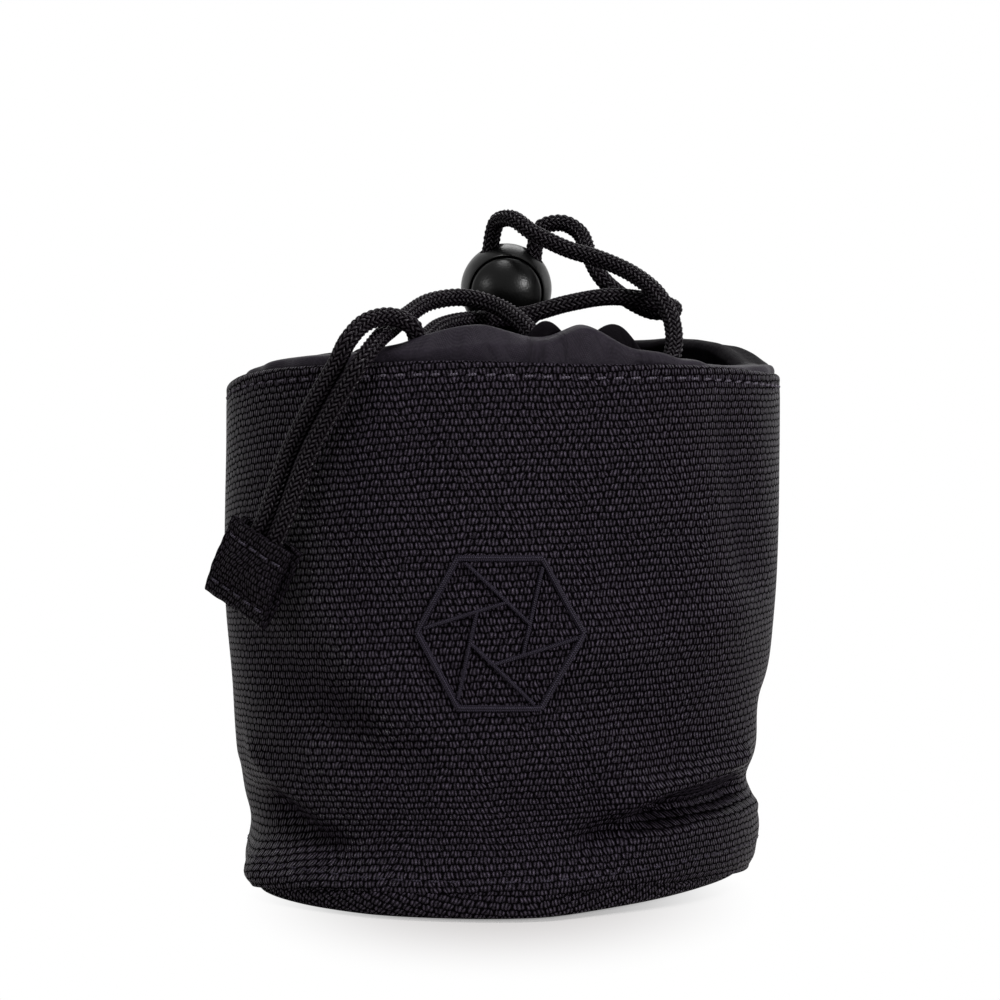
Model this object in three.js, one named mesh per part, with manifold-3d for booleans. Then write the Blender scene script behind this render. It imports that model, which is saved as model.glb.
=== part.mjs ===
// A drawstring lens pouch in black ballistic nylon: padded wall and base, gathered collar,
// braided drawcord with a two-hole ball lock, and a folded tab over the cord ends.
// Millimetres, +Z up, the origin under the middle of the base, -Y the side with the emblem.

import * as THREE from "three";
import { mergeVertices } from "three/addons/utils/BufferGeometryUtils.js";
import Module from "manifold-3d";

// Pouch body
const rimHeight = 93.5;
const rimHalfWidth = 52.4;
const rimHalfDepth = 45;
const baseRadius = 48.5;
const bellyHeight = 75; // where the wall reaches the width of the rim
const waistDepth = 1.8; // the wall draws in above the base seam
const waistHeight = 15.5;
const waistSpread = 6;
const footHeight = 24; // the creased lower part of the wall ends here
const creases = [
  { angle: -46, height: 14, spread: 32, rise: 5.2, depth: 2.8 },
  { angle: -146, height: 16, spread: 16, rise: 4.5, depth: 1.5 },
];

// Cloth, padding and thread
const fitGap = 0.3; // room between pieces that touch
const clothThickness = 1;
const foamThickness = 2;
const liningThickness = 0.5;
const hemDepth = 9;
const foldRadius = 0.7; // round of the folded edge
const threadDiameter = 0.6;
const rimStitchDrop = 3.1; // below the folded edge

// Base and inside seams
const baseTurnUp = 4.5; // height of the base seam
const baseTurnReach = 4.9; // how far in the turned-up edge starts
const liningRimDrop = 2.5; // the lining stops this far below the folded edge
const bindingWidth = 3;
const bindingHeight = 2.8;
const backBindingHalfAngle = 5;
const backBindingThickness = 1;

// Emblem
const emblemHeight = 47.5;
const emblemApothem = 12.6; // middle of the band to the middle of the emblem
const emblemBand = 1.8;
const emblemRise = 0.8;

// Collar and cord channel
const collarThickness = 0.6;
const collarFoldReach = 1.6; // from the sewn layer to the crest of the fold
const collarShoulderDrop = 2.4; // the outer layer turns inwards this far below the crest
const collarTuckReach = 5.6; // from the sewn layer to the foot of the inner layer
const collarTuckDrop = 4.6; // the foot of the inner layer, below the rim
const casingReach = 19; // the middle of the channel, inwards from the wall
const casingDrop = 8.5; // and below the rim
const casingWall = 0.7;
const casingGapAngle = 25; // half of the opening at the back where the cord comes out
const borePastEnd = 1; // the angle by which the cutter of the bore runs past the channel's ends
const pleatCount = 14;
const pleatDepth = 0.5;
const collarCrest = [
  [-180, 3], [-140, 2.2], [-112, 2.6], [-98, 5.4], [-90, 6.2], [-75, 6.2], [-66, 3.2], [-50, 1.8],
  [-25, 0.6], [0, 1.5], [28, 8], [90, 8.8], [140, 6.5], [180, 3],
]; // angle round the mouth, height of the fold above the rim

// Drawcord
const cordDiameter = 3;
const cordClearance = 0.4; // round the cord in its holes and channel
const cordSides = 8;
const casingSteps = 30;
const strandSteps = 38;
const tailSteps = 6;
const tailSplitDrop = 2.4; // the tails swing from this far below the rim
const tailSpread = 2.5; // half of the angle between the tails
const tailLine = [[-118.2, -0.4], [-123.2, -7], [-129.2, -15.5]]; // angle, height from the rim
const cordRunInLock = [-16, -10, -4, 2, 7, 10.5]; // points along a hole, from the lock's middle
const cordRunIntoTab = [3, -1]; // points from the tab's top edge, where the cords run straight in

// Ball lock
const lockCentre = [1.2, 5];
const lockLift = 17.3; // its middle above the rim
const lockNod = 14; // the button looks down by this angle
const lockLean = 9; // the top leans to the right by this angle
const lockRadius = 8.8;
const lockRim = 1.8; // width of the ball's edge round the button
const lockBackWall = 1.4;
const lockClearance = 0.25;
const lockHoleSpacing = 8.4;
const lockHoleForward = 0.8;
const buttonTravel = 2.6;
const springWire = 0.5;
const springMeanDiameter = 2.6;
const springTurns = 7;
const springSeat = 4.2; // depth of the spring's seat in the button, forward of the ball's middle

// End tab
const tabWidth = 14;
const tabLength = 15;
const tabAngle = -139;
const tabHeight = 57.4;
const tabStandoff = 5.8;
const tabTurn = -30; // the tab faces this far round from the front
const tabTilt = 28;
const tabCloth = 0.9;
const tabCordDepth = 8;
const tabCordSpacing = 3.6;
const tabFoldThickness = 2.4;
const tabStitchInset = 3;

// Fineness of the round shapes
const wallSegments = 36;
const baseTurnSteps = 4;
const footLevels = 5;
const upperLevels = 3;
const collarSegments = 56;
const roundSegments = 28;
const emblemSegments = 36;
const stepsPerTurn = 8; // of the spring
const wireSides = 5;

const wasm = await Module();
wasm.setup();
const cloth = new THREE.MeshStandardMaterial({ color: 0x1f1a21, roughness: 0.7 });
const nylon = new THREE.MeshStandardMaterial({ color: 0x2b282f, roughness: 0.5 });
const foam = new THREE.MeshStandardMaterial({ color: 0x54545a, roughness: 0.95 });
const tape = new THREE.MeshStandardMaterial({ color: 0x18171a, roughness: 0.8 });
const thread = new THREE.MeshStandardMaterial({ color: 0x242228, roughness: 0.6 });
const braid = new THREE.MeshStandardMaterial({ color: 0x17161a, roughness: 0.75 });
const plastic = new THREE.MeshStandardMaterial({ color: 0x26252a, roughness: 0.35 });
const steel = new THREE.MeshStandardMaterial({ color: 0xb4b6ba, roughness: 0.3, metalness: 1 });

const pouch = new THREE.Group();
const lock = new THREE.Group();
const tab = new THREE.Group();
pouch.add(lock, tab);

function addPiece(name, geometry, material, parent = pouch) {
  const piece = new THREE.Mesh(geometry, material);
  piece.name = name;
  parent.add(piece);
}

// Merges shared corners and drops flat triangles, so that a geometry becomes one closed skin.
function closedSkin(geometry) {
  const bare = new THREE.BufferGeometry();
  bare.setAttribute("position", geometry.getAttribute("position"));
  bare.setIndex(geometry.getIndex());
  const skin = mergeVertices(bare, 1e-3);
  const old = skin.getIndex().array;
  const kept = [];
  for (let at = 0; at < old.length; at += 3) {
    const [a, b, c] = [old[at], old[at + 1], old[at + 2]];
    if (a !== b && b !== c && c !== a) kept.push(a, b, c);
  }
  skin.setIndex(kept);
  return skin;
}

function facingOut(geometry) {
  const skin = closedSkin(geometry);
  const place = skin.getAttribute("position");
  const index = [...skin.getIndex().array];
  const corner = (at) => new THREE.Vector3().fromBufferAttribute(place, index[at]);
  let volume = 0;
  for (let at = 0; at < index.length; at += 3) {
    volume += corner(at).dot(corner(at + 1).cross(corner(at + 2)));
  }
  if (volume < 0) skin.setIndex(index.reverse());
  return skin;
}

function toSolid(geometry) {
  const skin = facingOut(geometry);
  const vertProperties = new Float32Array(skin.getAttribute("position").array);
  const triVerts = new Uint32Array(skin.getIndex().array);
  return new wasm.Manifold(new wasm.Mesh({ numProp: 3, vertProperties, triVerts }));
}

function fromSolid(solid) {
  const mesh = solid.getMesh();
  const geometry = new THREE.BufferGeometry();
  geometry.setAttribute("position", new THREE.BufferAttribute(mesh.vertProperties, mesh.numProp));
  geometry.setIndex(new THREE.BufferAttribute(mesh.triVerts, 1));
  return geometry;
}

// A skin over loops of points. The last loop joins the first, or both ends are closed with fans.
function loft(loops, joinsUp) {
  const size = loops[0].length;
  const indices = [];
  const rows = joinsUp ? loops.length : loops.length - 1;
  for (let row = 0; row < rows; row += 1) {
    const here = row * size;
    const next = ((row + 1) % loops.length) * size;
    for (let side = 0; side < size; side += 1) {
      const beside = (side + 1) % size;
      indices.push(here + side, here + beside, next + beside, here + side, next + beside, next + side);
    }
  }
  const last = (loops.length - 1) * size;
  for (let side = 1; !joinsUp && side < size - 1; side += 1) {
    indices.push(0, side + 1, side, last, last + side, last + side + 1);
  }
  const geometry = new THREE.BufferGeometry().setFromPoints(loops.flat());
  geometry.setIndex(indices);
  return facingOut(geometry);
}

// A closed profile in radius and height, turned round the Z axis.
function turned(profile) {
  const points = profile.map(([radius, height]) => new THREE.Vector2(radius, height));
  return facingOut(new THREE.LatheGeometry(points, wallSegments).rotateX(Math.PI / 2));
}

// Points of a quarter ellipse from its foot, straight below the middle, out to the side.
function quarterRound(middleRadius, middleHeight, reach, drop, steps) {
  return Array.from({ length: steps + 1 }, (_, step) => {
    const turn = (step / steps) * (Math.PI / 2);
    return [middleRadius + reach * Math.sin(turn), middleHeight - drop * Math.cos(turn)];
  });
}

// A point of the wall, moved inwards along the oval's own normal. The angle runs from +X towards +Y.
function wallPoint(degrees, height, inset) {
  const angle = THREE.MathUtils.degToRad(degrees);
  const level = Math.min(height, rimHeight);
  const widening = THREE.MathUtils.smoothstep(level, 0, bellyHeight);
  const waist = waistDepth * Math.exp(-(((level - waistHeight) / waistSpread) ** 2));
  const halfWidth = THREE.MathUtils.lerp(baseRadius, rimHalfWidth, widening) - waist;
  const halfDepth = THREE.MathUtils.lerp(baseRadius, rimHalfDepth, widening) - waist;
  let dent = 0;
  for (const crease of creases) {
    const along = THREE.MathUtils.euclideanModulo(degrees - crease.angle + 180, 360) - 180;
    const away = (along / crease.spread) ** 2 + ((level - crease.height) / crease.rise) ** 2;
    dent += crease.depth * Math.exp(-away);
  }
  const outward = new THREE.Vector2(Math.cos(angle) / halfWidth, Math.sin(angle) / halfDepth).normalize();
  const x = halfWidth * Math.cos(angle) - outward.x * (inset + dent);
  const y = halfDepth * Math.sin(angle) - outward.y * (inset + dent);
  return new THREE.Vector3(x, y, height);
}

// A ring that follows the wall, from a function that gives [inset, height] corners at an angle.
function wallRing(segments, corners) {
  const loops = Array.from({ length: segments }, (_, step) => {
    const degrees = (step / segments) * 360;
    return corners(degrees).map(([inset, height]) => wallPoint(degrees, height, inset));
  });
  return loft(loops, true);
}

// A round thread or rod as corners about a middle.
function threadCorners([inset, height]) {
  const radius = threadDiameter / 2;
  const sides = [[-radius, 0], [0, radius], [radius, 0], [0, -radius]];
  return sides.map(([across, up]) => [inset + across, height + up]);
}

// Levels up the wall, close together in the creased foot.
function levels(bottom, top) {
  const foot = Array.from({ length: footLevels }, (_, step) => {
    return THREE.MathUtils.lerp(bottom, footHeight, step / footLevels);
  });
  const upper = Array.from({ length: upperLevels + 1 }, (_, step) => {
    return THREE.MathUtils.lerp(footHeight, top, step / upperLevels);
  });
  return [...foot, ...upper];
}

// Layers of the wall, from the outside in
const wallBottom = baseTurnUp + fitGap;
const hemBottom = rimHeight - hemDepth;
const hemThickness = 2 * clothThickness;
const foamOuter = clothThickness + fitGap;
const foamInner = foamOuter + foamThickness;
const liningOuter = foamInner + fitGap;
const liningInner = liningOuter + liningThickness;
const collarMiddle = hemThickness + fitGap + collarThickness / 2;

function layer(outer, inner, top) {
  const heights = levels(wallBottom, top);
  const outside = heights.map((height) => [outer, height]);
  const inside = heights.map((height) => [inner, height]).reverse();
  return wallRing(wallSegments, () => [...outside, ...inside]);
}

function outerWall() {
  const outside = levels(wallBottom, rimHeight - foldRadius).map((height) => [0, height]);
  const insideTop = hemBottom - foldRadius;
  const inside = levels(wallBottom, insideTop).map((height) => [clothThickness, height]).reverse();
  const hem = [
    [foldRadius, rimHeight],
    [hemThickness - foldRadius, rimHeight],
    [hemThickness, rimHeight - foldRadius],
    [hemThickness, hemBottom],
  ];
  return wallRing(wallSegments, () => [...outside, ...hem, ...inside]);
}

addPiece("outer_wall", outerWall(), cloth);
addPiece("foam_wall", layer(foamOuter, foamInner, hemBottom - foldRadius - fitGap), foam);
addPiece("lining_wall", layer(liningOuter, liningInner, rimHeight - liningRimDrop), nylon);

// Base panel, its padding and lining
const baseFlat = baseRadius - baseTurnReach;
const baseInside = baseTurnUp - clothThickness;
const foamBaseBottom = clothThickness + fitGap;
const foamBaseTop = foamBaseBottom + foamThickness;
const liningBaseBottom = foamBaseTop + fitGap;
const liningBaseTop = liningBaseBottom + liningThickness;

function outerBase() {
  const under = quarterRound(baseFlat, baseTurnUp, baseTurnReach, baseTurnUp, baseTurnSteps);
  const reach = baseTurnReach - clothThickness;
  const over = quarterRound(baseFlat, baseTurnUp, reach, baseInside, baseTurnSteps).reverse();
  return turned([[0, 0], ...under, ...over, [0, clothThickness]]);
}

function disc(radius, bottom, top) {
  return turned([[0, bottom], [radius, bottom], [radius, top], [0, top]]);
}

addPiece("outer_base", outerBase(), cloth);
addPiece("foam_base", disc(baseFlat, foamBaseBottom, foamBaseTop), foam);
addPiece("lining_base", disc(baseFlat, liningBaseBottom, liningBaseTop), nylon);

// Tape over the seam between wall and base, and up the back seam
function baseSeamBinding() {
  const bottom = liningBaseTop + fitGap;
  const middle = bottom + bindingHeight / 2;
  const near = liningInner + fitGap;
  const far = near + bindingWidth;
  return wallRing(wallSegments, () => [
    [near, middle],
    [near + bindingWidth / 3, bottom + bindingHeight],
    [far - bindingWidth / 3, bottom + bindingHeight],
    [far, middle],
    [far - bindingWidth / 3, bottom],
    [near + bindingWidth / 3, bottom],
  ]);
}

function backSeamBinding() {
  const bottom = liningBaseTop + bindingHeight + 2 * fitGap;
  const top = rimHeight - liningRimDrop - 2 * fitGap;
  const near = liningInner + fitGap;
  const far = near + backBindingThickness;
  const loops = levels(wallBottom, top).map((height, step) => {
    const level = step === 0 ? bottom : Math.max(height, bottom + fitGap);
    return [[-1, near], [1, near], [1, far], [-1, far]].map(([side, inset]) => {
      return wallPoint(90 + side * backBindingHalfAngle, level, inset);
    });
  });
  return loft(loops, false);
}

addPiece("base_seam_binding", baseSeamBinding(), tape);
addPiece("back_seam_binding", backSeamBinding(), tape);

// Thread row below the folded edge, and the embroidered outline
const threadStandoff = fitGap + threadDiameter / 2;
const rimStitch = threadCorners([-threadStandoff, rimHeight - rimStitchDrop]);
addPiece("rim_stitching", wallRing(wallSegments, () => rimStitch), thread);

function emblem() {
  const sector = Math.PI / 3;
  const loops = Array.from({ length: emblemSegments }, (_, step) => {
    const turn = (step / emblemSegments) * 2 * Math.PI;
    const stretch = 1 / Math.cos(THREE.MathUtils.euclideanModulo(turn, sector) - sector / 2);
    const corners = [[-1, 0], [1, 0], [1, emblemRise], [-1, emblemRise]];
    return corners.map(([side, rise]) => {
      const radius = (emblemApothem + (side * emblemBand) / 2) * stretch;
      const degrees = -90 + THREE.MathUtils.radToDeg((radius * Math.cos(turn)) / rimHalfWidth);
      return wallPoint(degrees, emblemHeight + radius * Math.sin(turn), -(fitGap + rise));
    });
  });
  return loft(loops, true);
}

addPiece("emblem_embroidery", emblem(), thread);

// Collar: sewn inside the hem, up to its fold, down the inner layer and in to the cord channel
function crestHeight(degrees) {
  const at = THREE.MathUtils.euclideanModulo(degrees + 180, 360) - 180;
  const next = collarCrest.findIndex(([angle]) => angle > at);
  const [from, low] = collarCrest[next - 1];
  const [to, high] = collarCrest[next];
  return THREE.MathUtils.lerp(low, high, THREE.MathUtils.smoothstep(at, from, to));
}

const cordRadius = cordDiameter / 2;
const cordBore = cordRadius + cordClearance; // of the channel and of the lock's holes
const casingRadius = cordBore + casingWall;
const collarEnd = casingReach - casingRadius - fitGap;

function collarLine(degrees) {
  const crest = rimHeight + crestHeight(degrees);
  const pleat = pleatDepth * Math.cos(THREE.MathUtils.degToRad(degrees * pleatCount));
  const fold = collarMiddle + collarFoldReach;
  const tuck = collarMiddle + collarTuckReach;
  return [
    [collarMiddle, hemBottom],
    [collarMiddle, rimHeight - 2 * foldRadius],
    [collarMiddle + fitGap + pleat / 4, crest - collarShoulderDrop],
    [fold + pleat / 2, crest],
    [fold + collarFoldReach + pleat / 2, crest - collarFoldReach],
    [tuck - collarFoldReach, rimHeight - collarTuckDrop / 2],
    [tuck, rimHeight - collarTuckDrop],
    [collarEnd, rimHeight - casingDrop],
  ];
}

// Both faces of a sheet whose middle is a line of [inset, height] points.
function sheetCorners(line, thickness) {
  const faces = line.map((point, at) => {
    const before = line[Math.max(at - 1, 0)];
    const after = line[Math.min(at + 1, line.length - 1)];
    const along = new THREE.Vector2(after[0] - before[0], after[1] - before[1]).normalize();
    const half = thickness / 2;
    return [1, -1].map((side) => [point[0] - side * half * along.y, point[1] + side * half * along.x]);
  });
  return [...faces.map((pair) => pair[0]), ...faces.map((pair) => pair[1]).reverse()];
}

// A thread laid along the floor of the collar, beside the channel.
function casingStitch(degrees) {
  const line = collarLine(degrees);
  const [foot, end] = line.slice(-2).map(([inset, height]) => new THREE.Vector2(inset, height));
  const along = end.clone().sub(foot).normalize();
  const above = new THREE.Vector2(-along.y, along.x).multiplyScalar(collarThickness / 2 + threadStandoff);
  const middle = end.clone().addScaledVector(along, -2 * threadDiameter).add(above);
  return threadCorners([middle.x, middle.y]);
}

const collarSheet = (degrees) => sheetCorners(collarLine(degrees), collarThickness);
addPiece("collar", wallRing(collarSegments, collarSheet), nylon);
addPiece("casing_stitching", wallRing(collarSegments, casingStitch), thread);

// Cord tubes
function roundSection(radius) {
  const shape = new THREE.Shape();
  const corners = Array.from({ length: cordSides }, (_, side) => {
    const turn = (side / cordSides) * 2 * Math.PI;
    return new THREE.Vector2(radius * Math.cos(turn), radius * Math.sin(turn));
  });
  return shape.setFromPoints(corners);
}

function tube(curve, radius, steps) {
  return facingOut(new THREE.ExtrudeGeometry(roundSection(radius), { steps, extrudePath: curve }));
}

// Part of a curve, between two shares of its length.
class Stretch extends THREE.Curve {
  constructor(whole, from, to) {
    super();
    Object.assign(this, { whole, from, to });
  }

  getPoint(share, target = new THREE.Vector3()) {
    return this.whole.getPointAt(THREE.MathUtils.lerp(this.from, this.to, share), target);
  }
}

// The channel runs round the mouth from one side of its opening at the back to the other.
function casingLine(gapAngle) {
  const points = Array.from({ length: casingSteps + 1 }, (_, step) => {
    const degrees = THREE.MathUtils.lerp(90 + gapAngle, 450 - gapAngle, step / casingSteps);
    return wallPoint(degrees, rimHeight, casingReach).setZ(rimHeight - casingDrop);
  });
  return new THREE.CatmullRomCurve3(points);
}

function cordCasing() {
  const outside = toSolid(tube(casingLine(casingGapAngle), casingRadius, casingSteps));
  const inside = toSolid(tube(casingLine(casingGapAngle - borePastEnd), cordBore, casingSteps));
  return fromSolid(outside.subtract(inside));
}

const tailStandoff = cordRadius + fitGap + 2 * threadStandoff; // outside the thread row
addPiece("cord_casing", cordCasing(), nylon);
addPiece("drawcord_in_casing", tube(casingLine(casingGapAngle), cordRadius, casingSteps), braid);

// Ball lock, built with its button along -Y and its cord holes along Z
lock.position.set(lockCentre[0], lockCentre[1], rimHeight + lockLift);
lock.rotation.set(THREE.MathUtils.degToRad(lockNod), THREE.MathUtils.degToRad(lockLean), 0, "XYZ");
const boreRadius = lockRadius - lockRim;
const pocketRadius = lockRadius - lockBackWall;
const buttonRadius = boreRadius - lockClearance;
const buttonBackRadius = pocketRadius - lockClearance;
const springOuter = (springMeanDiameter + springWire) / 2;

// Points of a sphere's outline from one radius to another, in [radius, y].
function domeLine(radius, middle, side, from, to) {
  const steps = roundSegments / 4;
  const first = Math.asin(from / radius);
  const last = Math.asin(to / radius);
  return Array.from({ length: steps + 1 }, (_, step) => {
    const turn = THREE.MathUtils.lerp(first, last, step / steps);
    return [radius * Math.sin(turn), middle + side * radius * Math.cos(turn)];
  });
}

function turnedAboutY(profile) {
  const points = profile.map(([radius, y]) => new THREE.Vector2(Math.max(radius, 0), y));
  return toSolid(new THREE.LatheGeometry(points, roundSegments));
}

function uprightHole(side) {
  const cutter = new THREE.CylinderGeometry(cordBore, cordBore, 4 * lockRadius, cordSides * 2);
  cutter.rotateX(Math.PI / 2);
  return toSolid(cutter.translate((side * lockHoleSpacing) / 2, -lockHoleForward, 0));
}

function lockHousing() {
  const ball = toSolid(new THREE.SphereGeometry(lockRadius, roundSegments, roundSegments / 2));
  const back = domeLine(pocketRadius, 0, 1, boreRadius, 0);
  const pocket = turnedAboutY([[0, -2 * lockRadius], [boreRadius, -2 * lockRadius], ...back]);
  return fromSolid(ball.subtract(pocket).subtract(uprightHole(-1)).subtract(uprightHole(1)));
}

function cordSlot(side) {
  const depth = 2 * cordBore + buttonTravel;
  const cutter = new THREE.BoxGeometry(2 * cordBore, depth, 4 * lockRadius);
  const middle = -lockHoleForward + cordBore - depth / 2;
  return toSolid(cutter.translate((side * lockHoleSpacing) / 2, middle, 0));
}

function lockButton() {
  const front = domeLine(lockRadius, 0, -1, 0, buttonRadius);
  const back = domeLine(buttonBackRadius, -buttonTravel, 1, buttonRadius, 0);
  const seatRadius = springOuter + fitGap;
  const seat = new THREE.CylinderGeometry(seatRadius, seatRadius, 2 * lockRadius, roundSegments / 2);
  seat.translate(0, lockRadius - springSeat, 0);
  const body = turnedAboutY([...front, ...back]).subtract(toSolid(seat));
  return fromSolid(body.subtract(cordSlot(-1)).subtract(cordSlot(1)));
}

class Helix extends THREE.Curve {
  constructor(radius, start, end, turns) {
    super();
    Object.assign(this, { radius, start, end, turns });
  }

  getPoint(share, target = new THREE.Vector3()) {
    const turn = share * this.turns * 2 * Math.PI;
    const along = THREE.MathUtils.lerp(this.start, this.end, share);
    return target.set(this.radius * Math.cos(turn), along, this.radius * Math.sin(turn));
  }
}

function lockSpring() {
  const end = fitGap + springWire / 2;
  const curve = new Helix(springMeanDiameter / 2, end - springSeat, pocketRadius - end, springTurns);
  const spine = curve.getPoints(springTurns * stepsPerTurn);
  const loops = spine.map((middle, step) => {
    const turn = (step / stepsPerTurn) * 2 * Math.PI;
    return Array.from({ length: wireSides }, (_, side) => {
      const around = (side / wireSides) * 2 * Math.PI;
      const outward = (springWire / 2) * Math.cos(around);
      const rise = (springWire / 2) * Math.sin(around);
      const offset = new THREE.Vector3(outward * Math.cos(turn), rise, outward * Math.sin(turn));
      return middle.clone().add(offset);
    });
  });
  let leastGap = Infinity;
  spine.forEach((point, at) => {
    for (const other of spine.slice(at + stepsPerTurn - 1)) {
      leastGap = Math.min(leastGap, point.distanceTo(other) - springWire);
    }
  });
  console.log(`least gap between the turns of the lock's spring: ${leastGap.toFixed(2)} mm`);
  return loft(loops, false);
}

addPiece("lock_housing", lockHousing(), plastic, lock);
addPiece("lock_button", lockButton(), plastic, lock);
addPiece("lock_spring", lockSpring(), steel, lock);

// End tab, built with its faces square to Y and its cords going down into it along Z
tab.position.copy(wallPoint(tabAngle, tabHeight, -tabStandoff));
tab.rotation.set(0, THREE.MathUtils.degToRad(tabTilt), THREE.MathUtils.degToRad(tabTurn), "ZYX");
const tabTop = tabLength / 2;
const tabRoom = cordRadius + fitGap; // from the middle of the tab to its inner face
const tabHalfThickness = tabRoom + tabCloth;
const tabRoomBottom = tabTop - tabCordDepth - fitGap;

// One strip of cloth, folded at the bottom, drawn from the side.
function endTab() {
  const half = tabFoldThickness / 2;
  const outline = [
    [-tabHalfThickness, tabTop],
    [-tabHalfThickness, tabRoomBottom],
    [-half, half - tabTop],
    [0, -tabTop],
    [half, half - tabTop],
    [tabHalfThickness, tabRoomBottom],
    [tabHalfThickness, tabTop],
    [tabRoom, tabTop],
    [tabRoom, tabRoomBottom],
    [fitGap / 2, tabCloth - tabTop + half],
    [-fitGap / 2, tabCloth - tabTop + half],
    [-tabRoom, tabRoomBottom],
    [-tabRoom, tabTop],
  ];
  const shape = new THREE.Shape(outline.map(([across, up]) => new THREE.Vector2(across, up)));
  const strip = new THREE.ExtrudeGeometry(shape, { depth: tabWidth, bevelEnabled: false });
  const upright = new THREE.Matrix4().set(0, 0, 1, -tabWidth / 2, 1, 0, 0, 0, 0, 1, 0, 0, 0, 0, 0, 1);
  return facingOut(strip.applyMatrix4(upright));
}

// A row of thread across the front of the tab.
function tabStitching(level, depth) {
  const length = tabWidth - 2 * clothThickness;
  const rod = new THREE.CylinderGeometry(threadDiameter / 2, threadDiameter / 2, length, cordSides);
  rod.rotateZ(Math.PI / 2);
  return rod.translate(0, -(depth + threadStandoff), level);
}

const lowerStitchLevel = tabStitchInset - tabTop;
const slopeFoot = tabFoldThickness / 2 - tabTop; // the sides spread from here up to the cords' ends
const slopeShare = (lowerStitchLevel - slopeFoot) / (tabRoomBottom - slopeFoot);
const lowerStitchDepth = THREE.MathUtils.lerp(tabFoldThickness / 2, tabHalfThickness, slopeShare);
addPiece("end_tab", endTab(), cloth, tab);
addPiece("tab_stitching_upper", tabStitching(tabTop - tabStitchInset, tabHalfThickness), thread, tab);
addPiece("tab_stitching_lower", tabStitching(lowerStitchLevel, lowerStitchDepth), thread, tab);

// Strands: from the channel up through the lock, in loops over the mouth, over the rim and down to the tab.
// Each free point is [x, y, height above the rim].
const strands = {
  right: {
    hole: -1,
    lead: [[-11.2, 24.2, -8.5], [-8.4, 22.4, -8.4], [-7, 18.2, -8], [-6.5, 13.4, -5.6], [-6, 10.4, -1.6]],
    loops: [
      [-0.6, 0.4, 29.6], [2.2, -3.6, 29.8], [6, -6.8, 26.8], [12.5, -9.4, 23.3], [18.6, -11.8, 21.1],
      [24.5, -15, 17.9], [28.8, -19, 13.6], [31.1, -22, 8.3], [30.6, -25.2, 2], [26.6, -28.6, -1.6],
      [20, -31.2, -2.4], [13, -32.4, -1.6], [8, -31.2, 3], [4, -26.6, 8], [-0.5, -21, 11.5],
      [-6.5, -18.9, 13.3], [-12.5, -21.5, 12.3], [-16.7, -27.5, 9.1], [-19.2, -34.2, 6.2], [-21, -39.6, 3.9],
    ],
  },
  left: {
    hole: 1,
    lead: [[11.2, 24.2, -8.5], [8.2, 22.4, -8.4], [5.6, 18.2, -8], [3.8, 13.6, -5.8], [3, 10.6, -2.2]],
    loops: [
      [8, 2, 28.8], [11.9, 1.6, 29.6], [15.2, 0.4, 27.6], [17, -2.8, 22.8], [19.4, -6, 18],
      [23.6, -6.4, 14.4], [28.6, -4.4, 12.2], [32.2, -6.6, 12], [31.6, -11.4, 12.4], [27, -13.4, 13.4],
      [20, -13, 14], [12.5, -13, 12.8], [5, -13.6, 10.7], [-2, -16, 9.7], [-7.3, -20, 8.9],
      [-11.2, -26, 7.1], [-13.6, -32, 4.4], [-14.2, -35, 4.2], [-15.2, -37.4, 6.5], [-18.6, -38.8, 8],
      [-22.8, -40.4, 7], [-25.8, -42.2, 3.8],
    ],
  },
};
pouch.updateMatrixWorld(true);

function strandCurve({ hole, lead, loops }) {
  const aboveRim = ([x, y, height]) => new THREE.Vector3(x, y, rimHeight + height);
  const joinAngle = THREE.MathUtils.radToDeg((2 * fitGap) / (rimHalfDepth - casingReach));
  const casingEnd = casingLine(casingGapAngle - joinAngle).getPoint(hole < 0 ? 0 : 1);
  const across = (hole * lockHoleSpacing) / 2;
  const straight = cordRunInLock.map((along) => {
    return lock.localToWorld(new THREE.Vector3(across, -lockHoleForward, along));
  });
  const spread = hole * -tailSpread;
  const overRim = tailLine.map(([degrees, height]) => {
    return wallPoint(degrees + spread, rimHeight + height, -tailStandoff);
  });
  const side = (hole * -tabCordSpacing) / 2;
  const inTab = [...cordRunIntoTab, -tabCordDepth].map((fromTop) => {
    return tab.localToWorld(new THREE.Vector3(side, 0, tabTop + fromTop));
  });
  const inMouth = [casingEnd, ...lead.map(aboveRim), ...straight, ...loops.map(aboveRim)];
  return new THREE.CatmullRomCurve3([...inMouth, ...overRim, ...inTab]);
}

// Each strand stops and its tail starts, face to face, at the height where the tails swing.
for (const [side, strand] of Object.entries(strands)) {
  const curve = strandCurve(strand);
  curve.arcLengthDivisions = 1000;
  const length = curve.getLength();
  let split = 1;
  while (curve.getPointAt(split).z < rimHeight - tailSplitDrop) split -= 1 / curve.arcLengthDivisions;
  const half = fitGap / 2 / length;
  addPiece(`drawcord_${side}`, tube(new Stretch(curve, 0, split - half), cordRadius, strandSteps), braid);
  addPiece(`tail_${side}`, tube(new Stretch(curve, split + half, 1), cordRadius, tailSteps), braid);
  console.log(`${side} strand ${length.toFixed(0)} mm, of it tail ${((1 - split) * length).toFixed(0)} mm`);
}

export default pouch;
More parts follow.
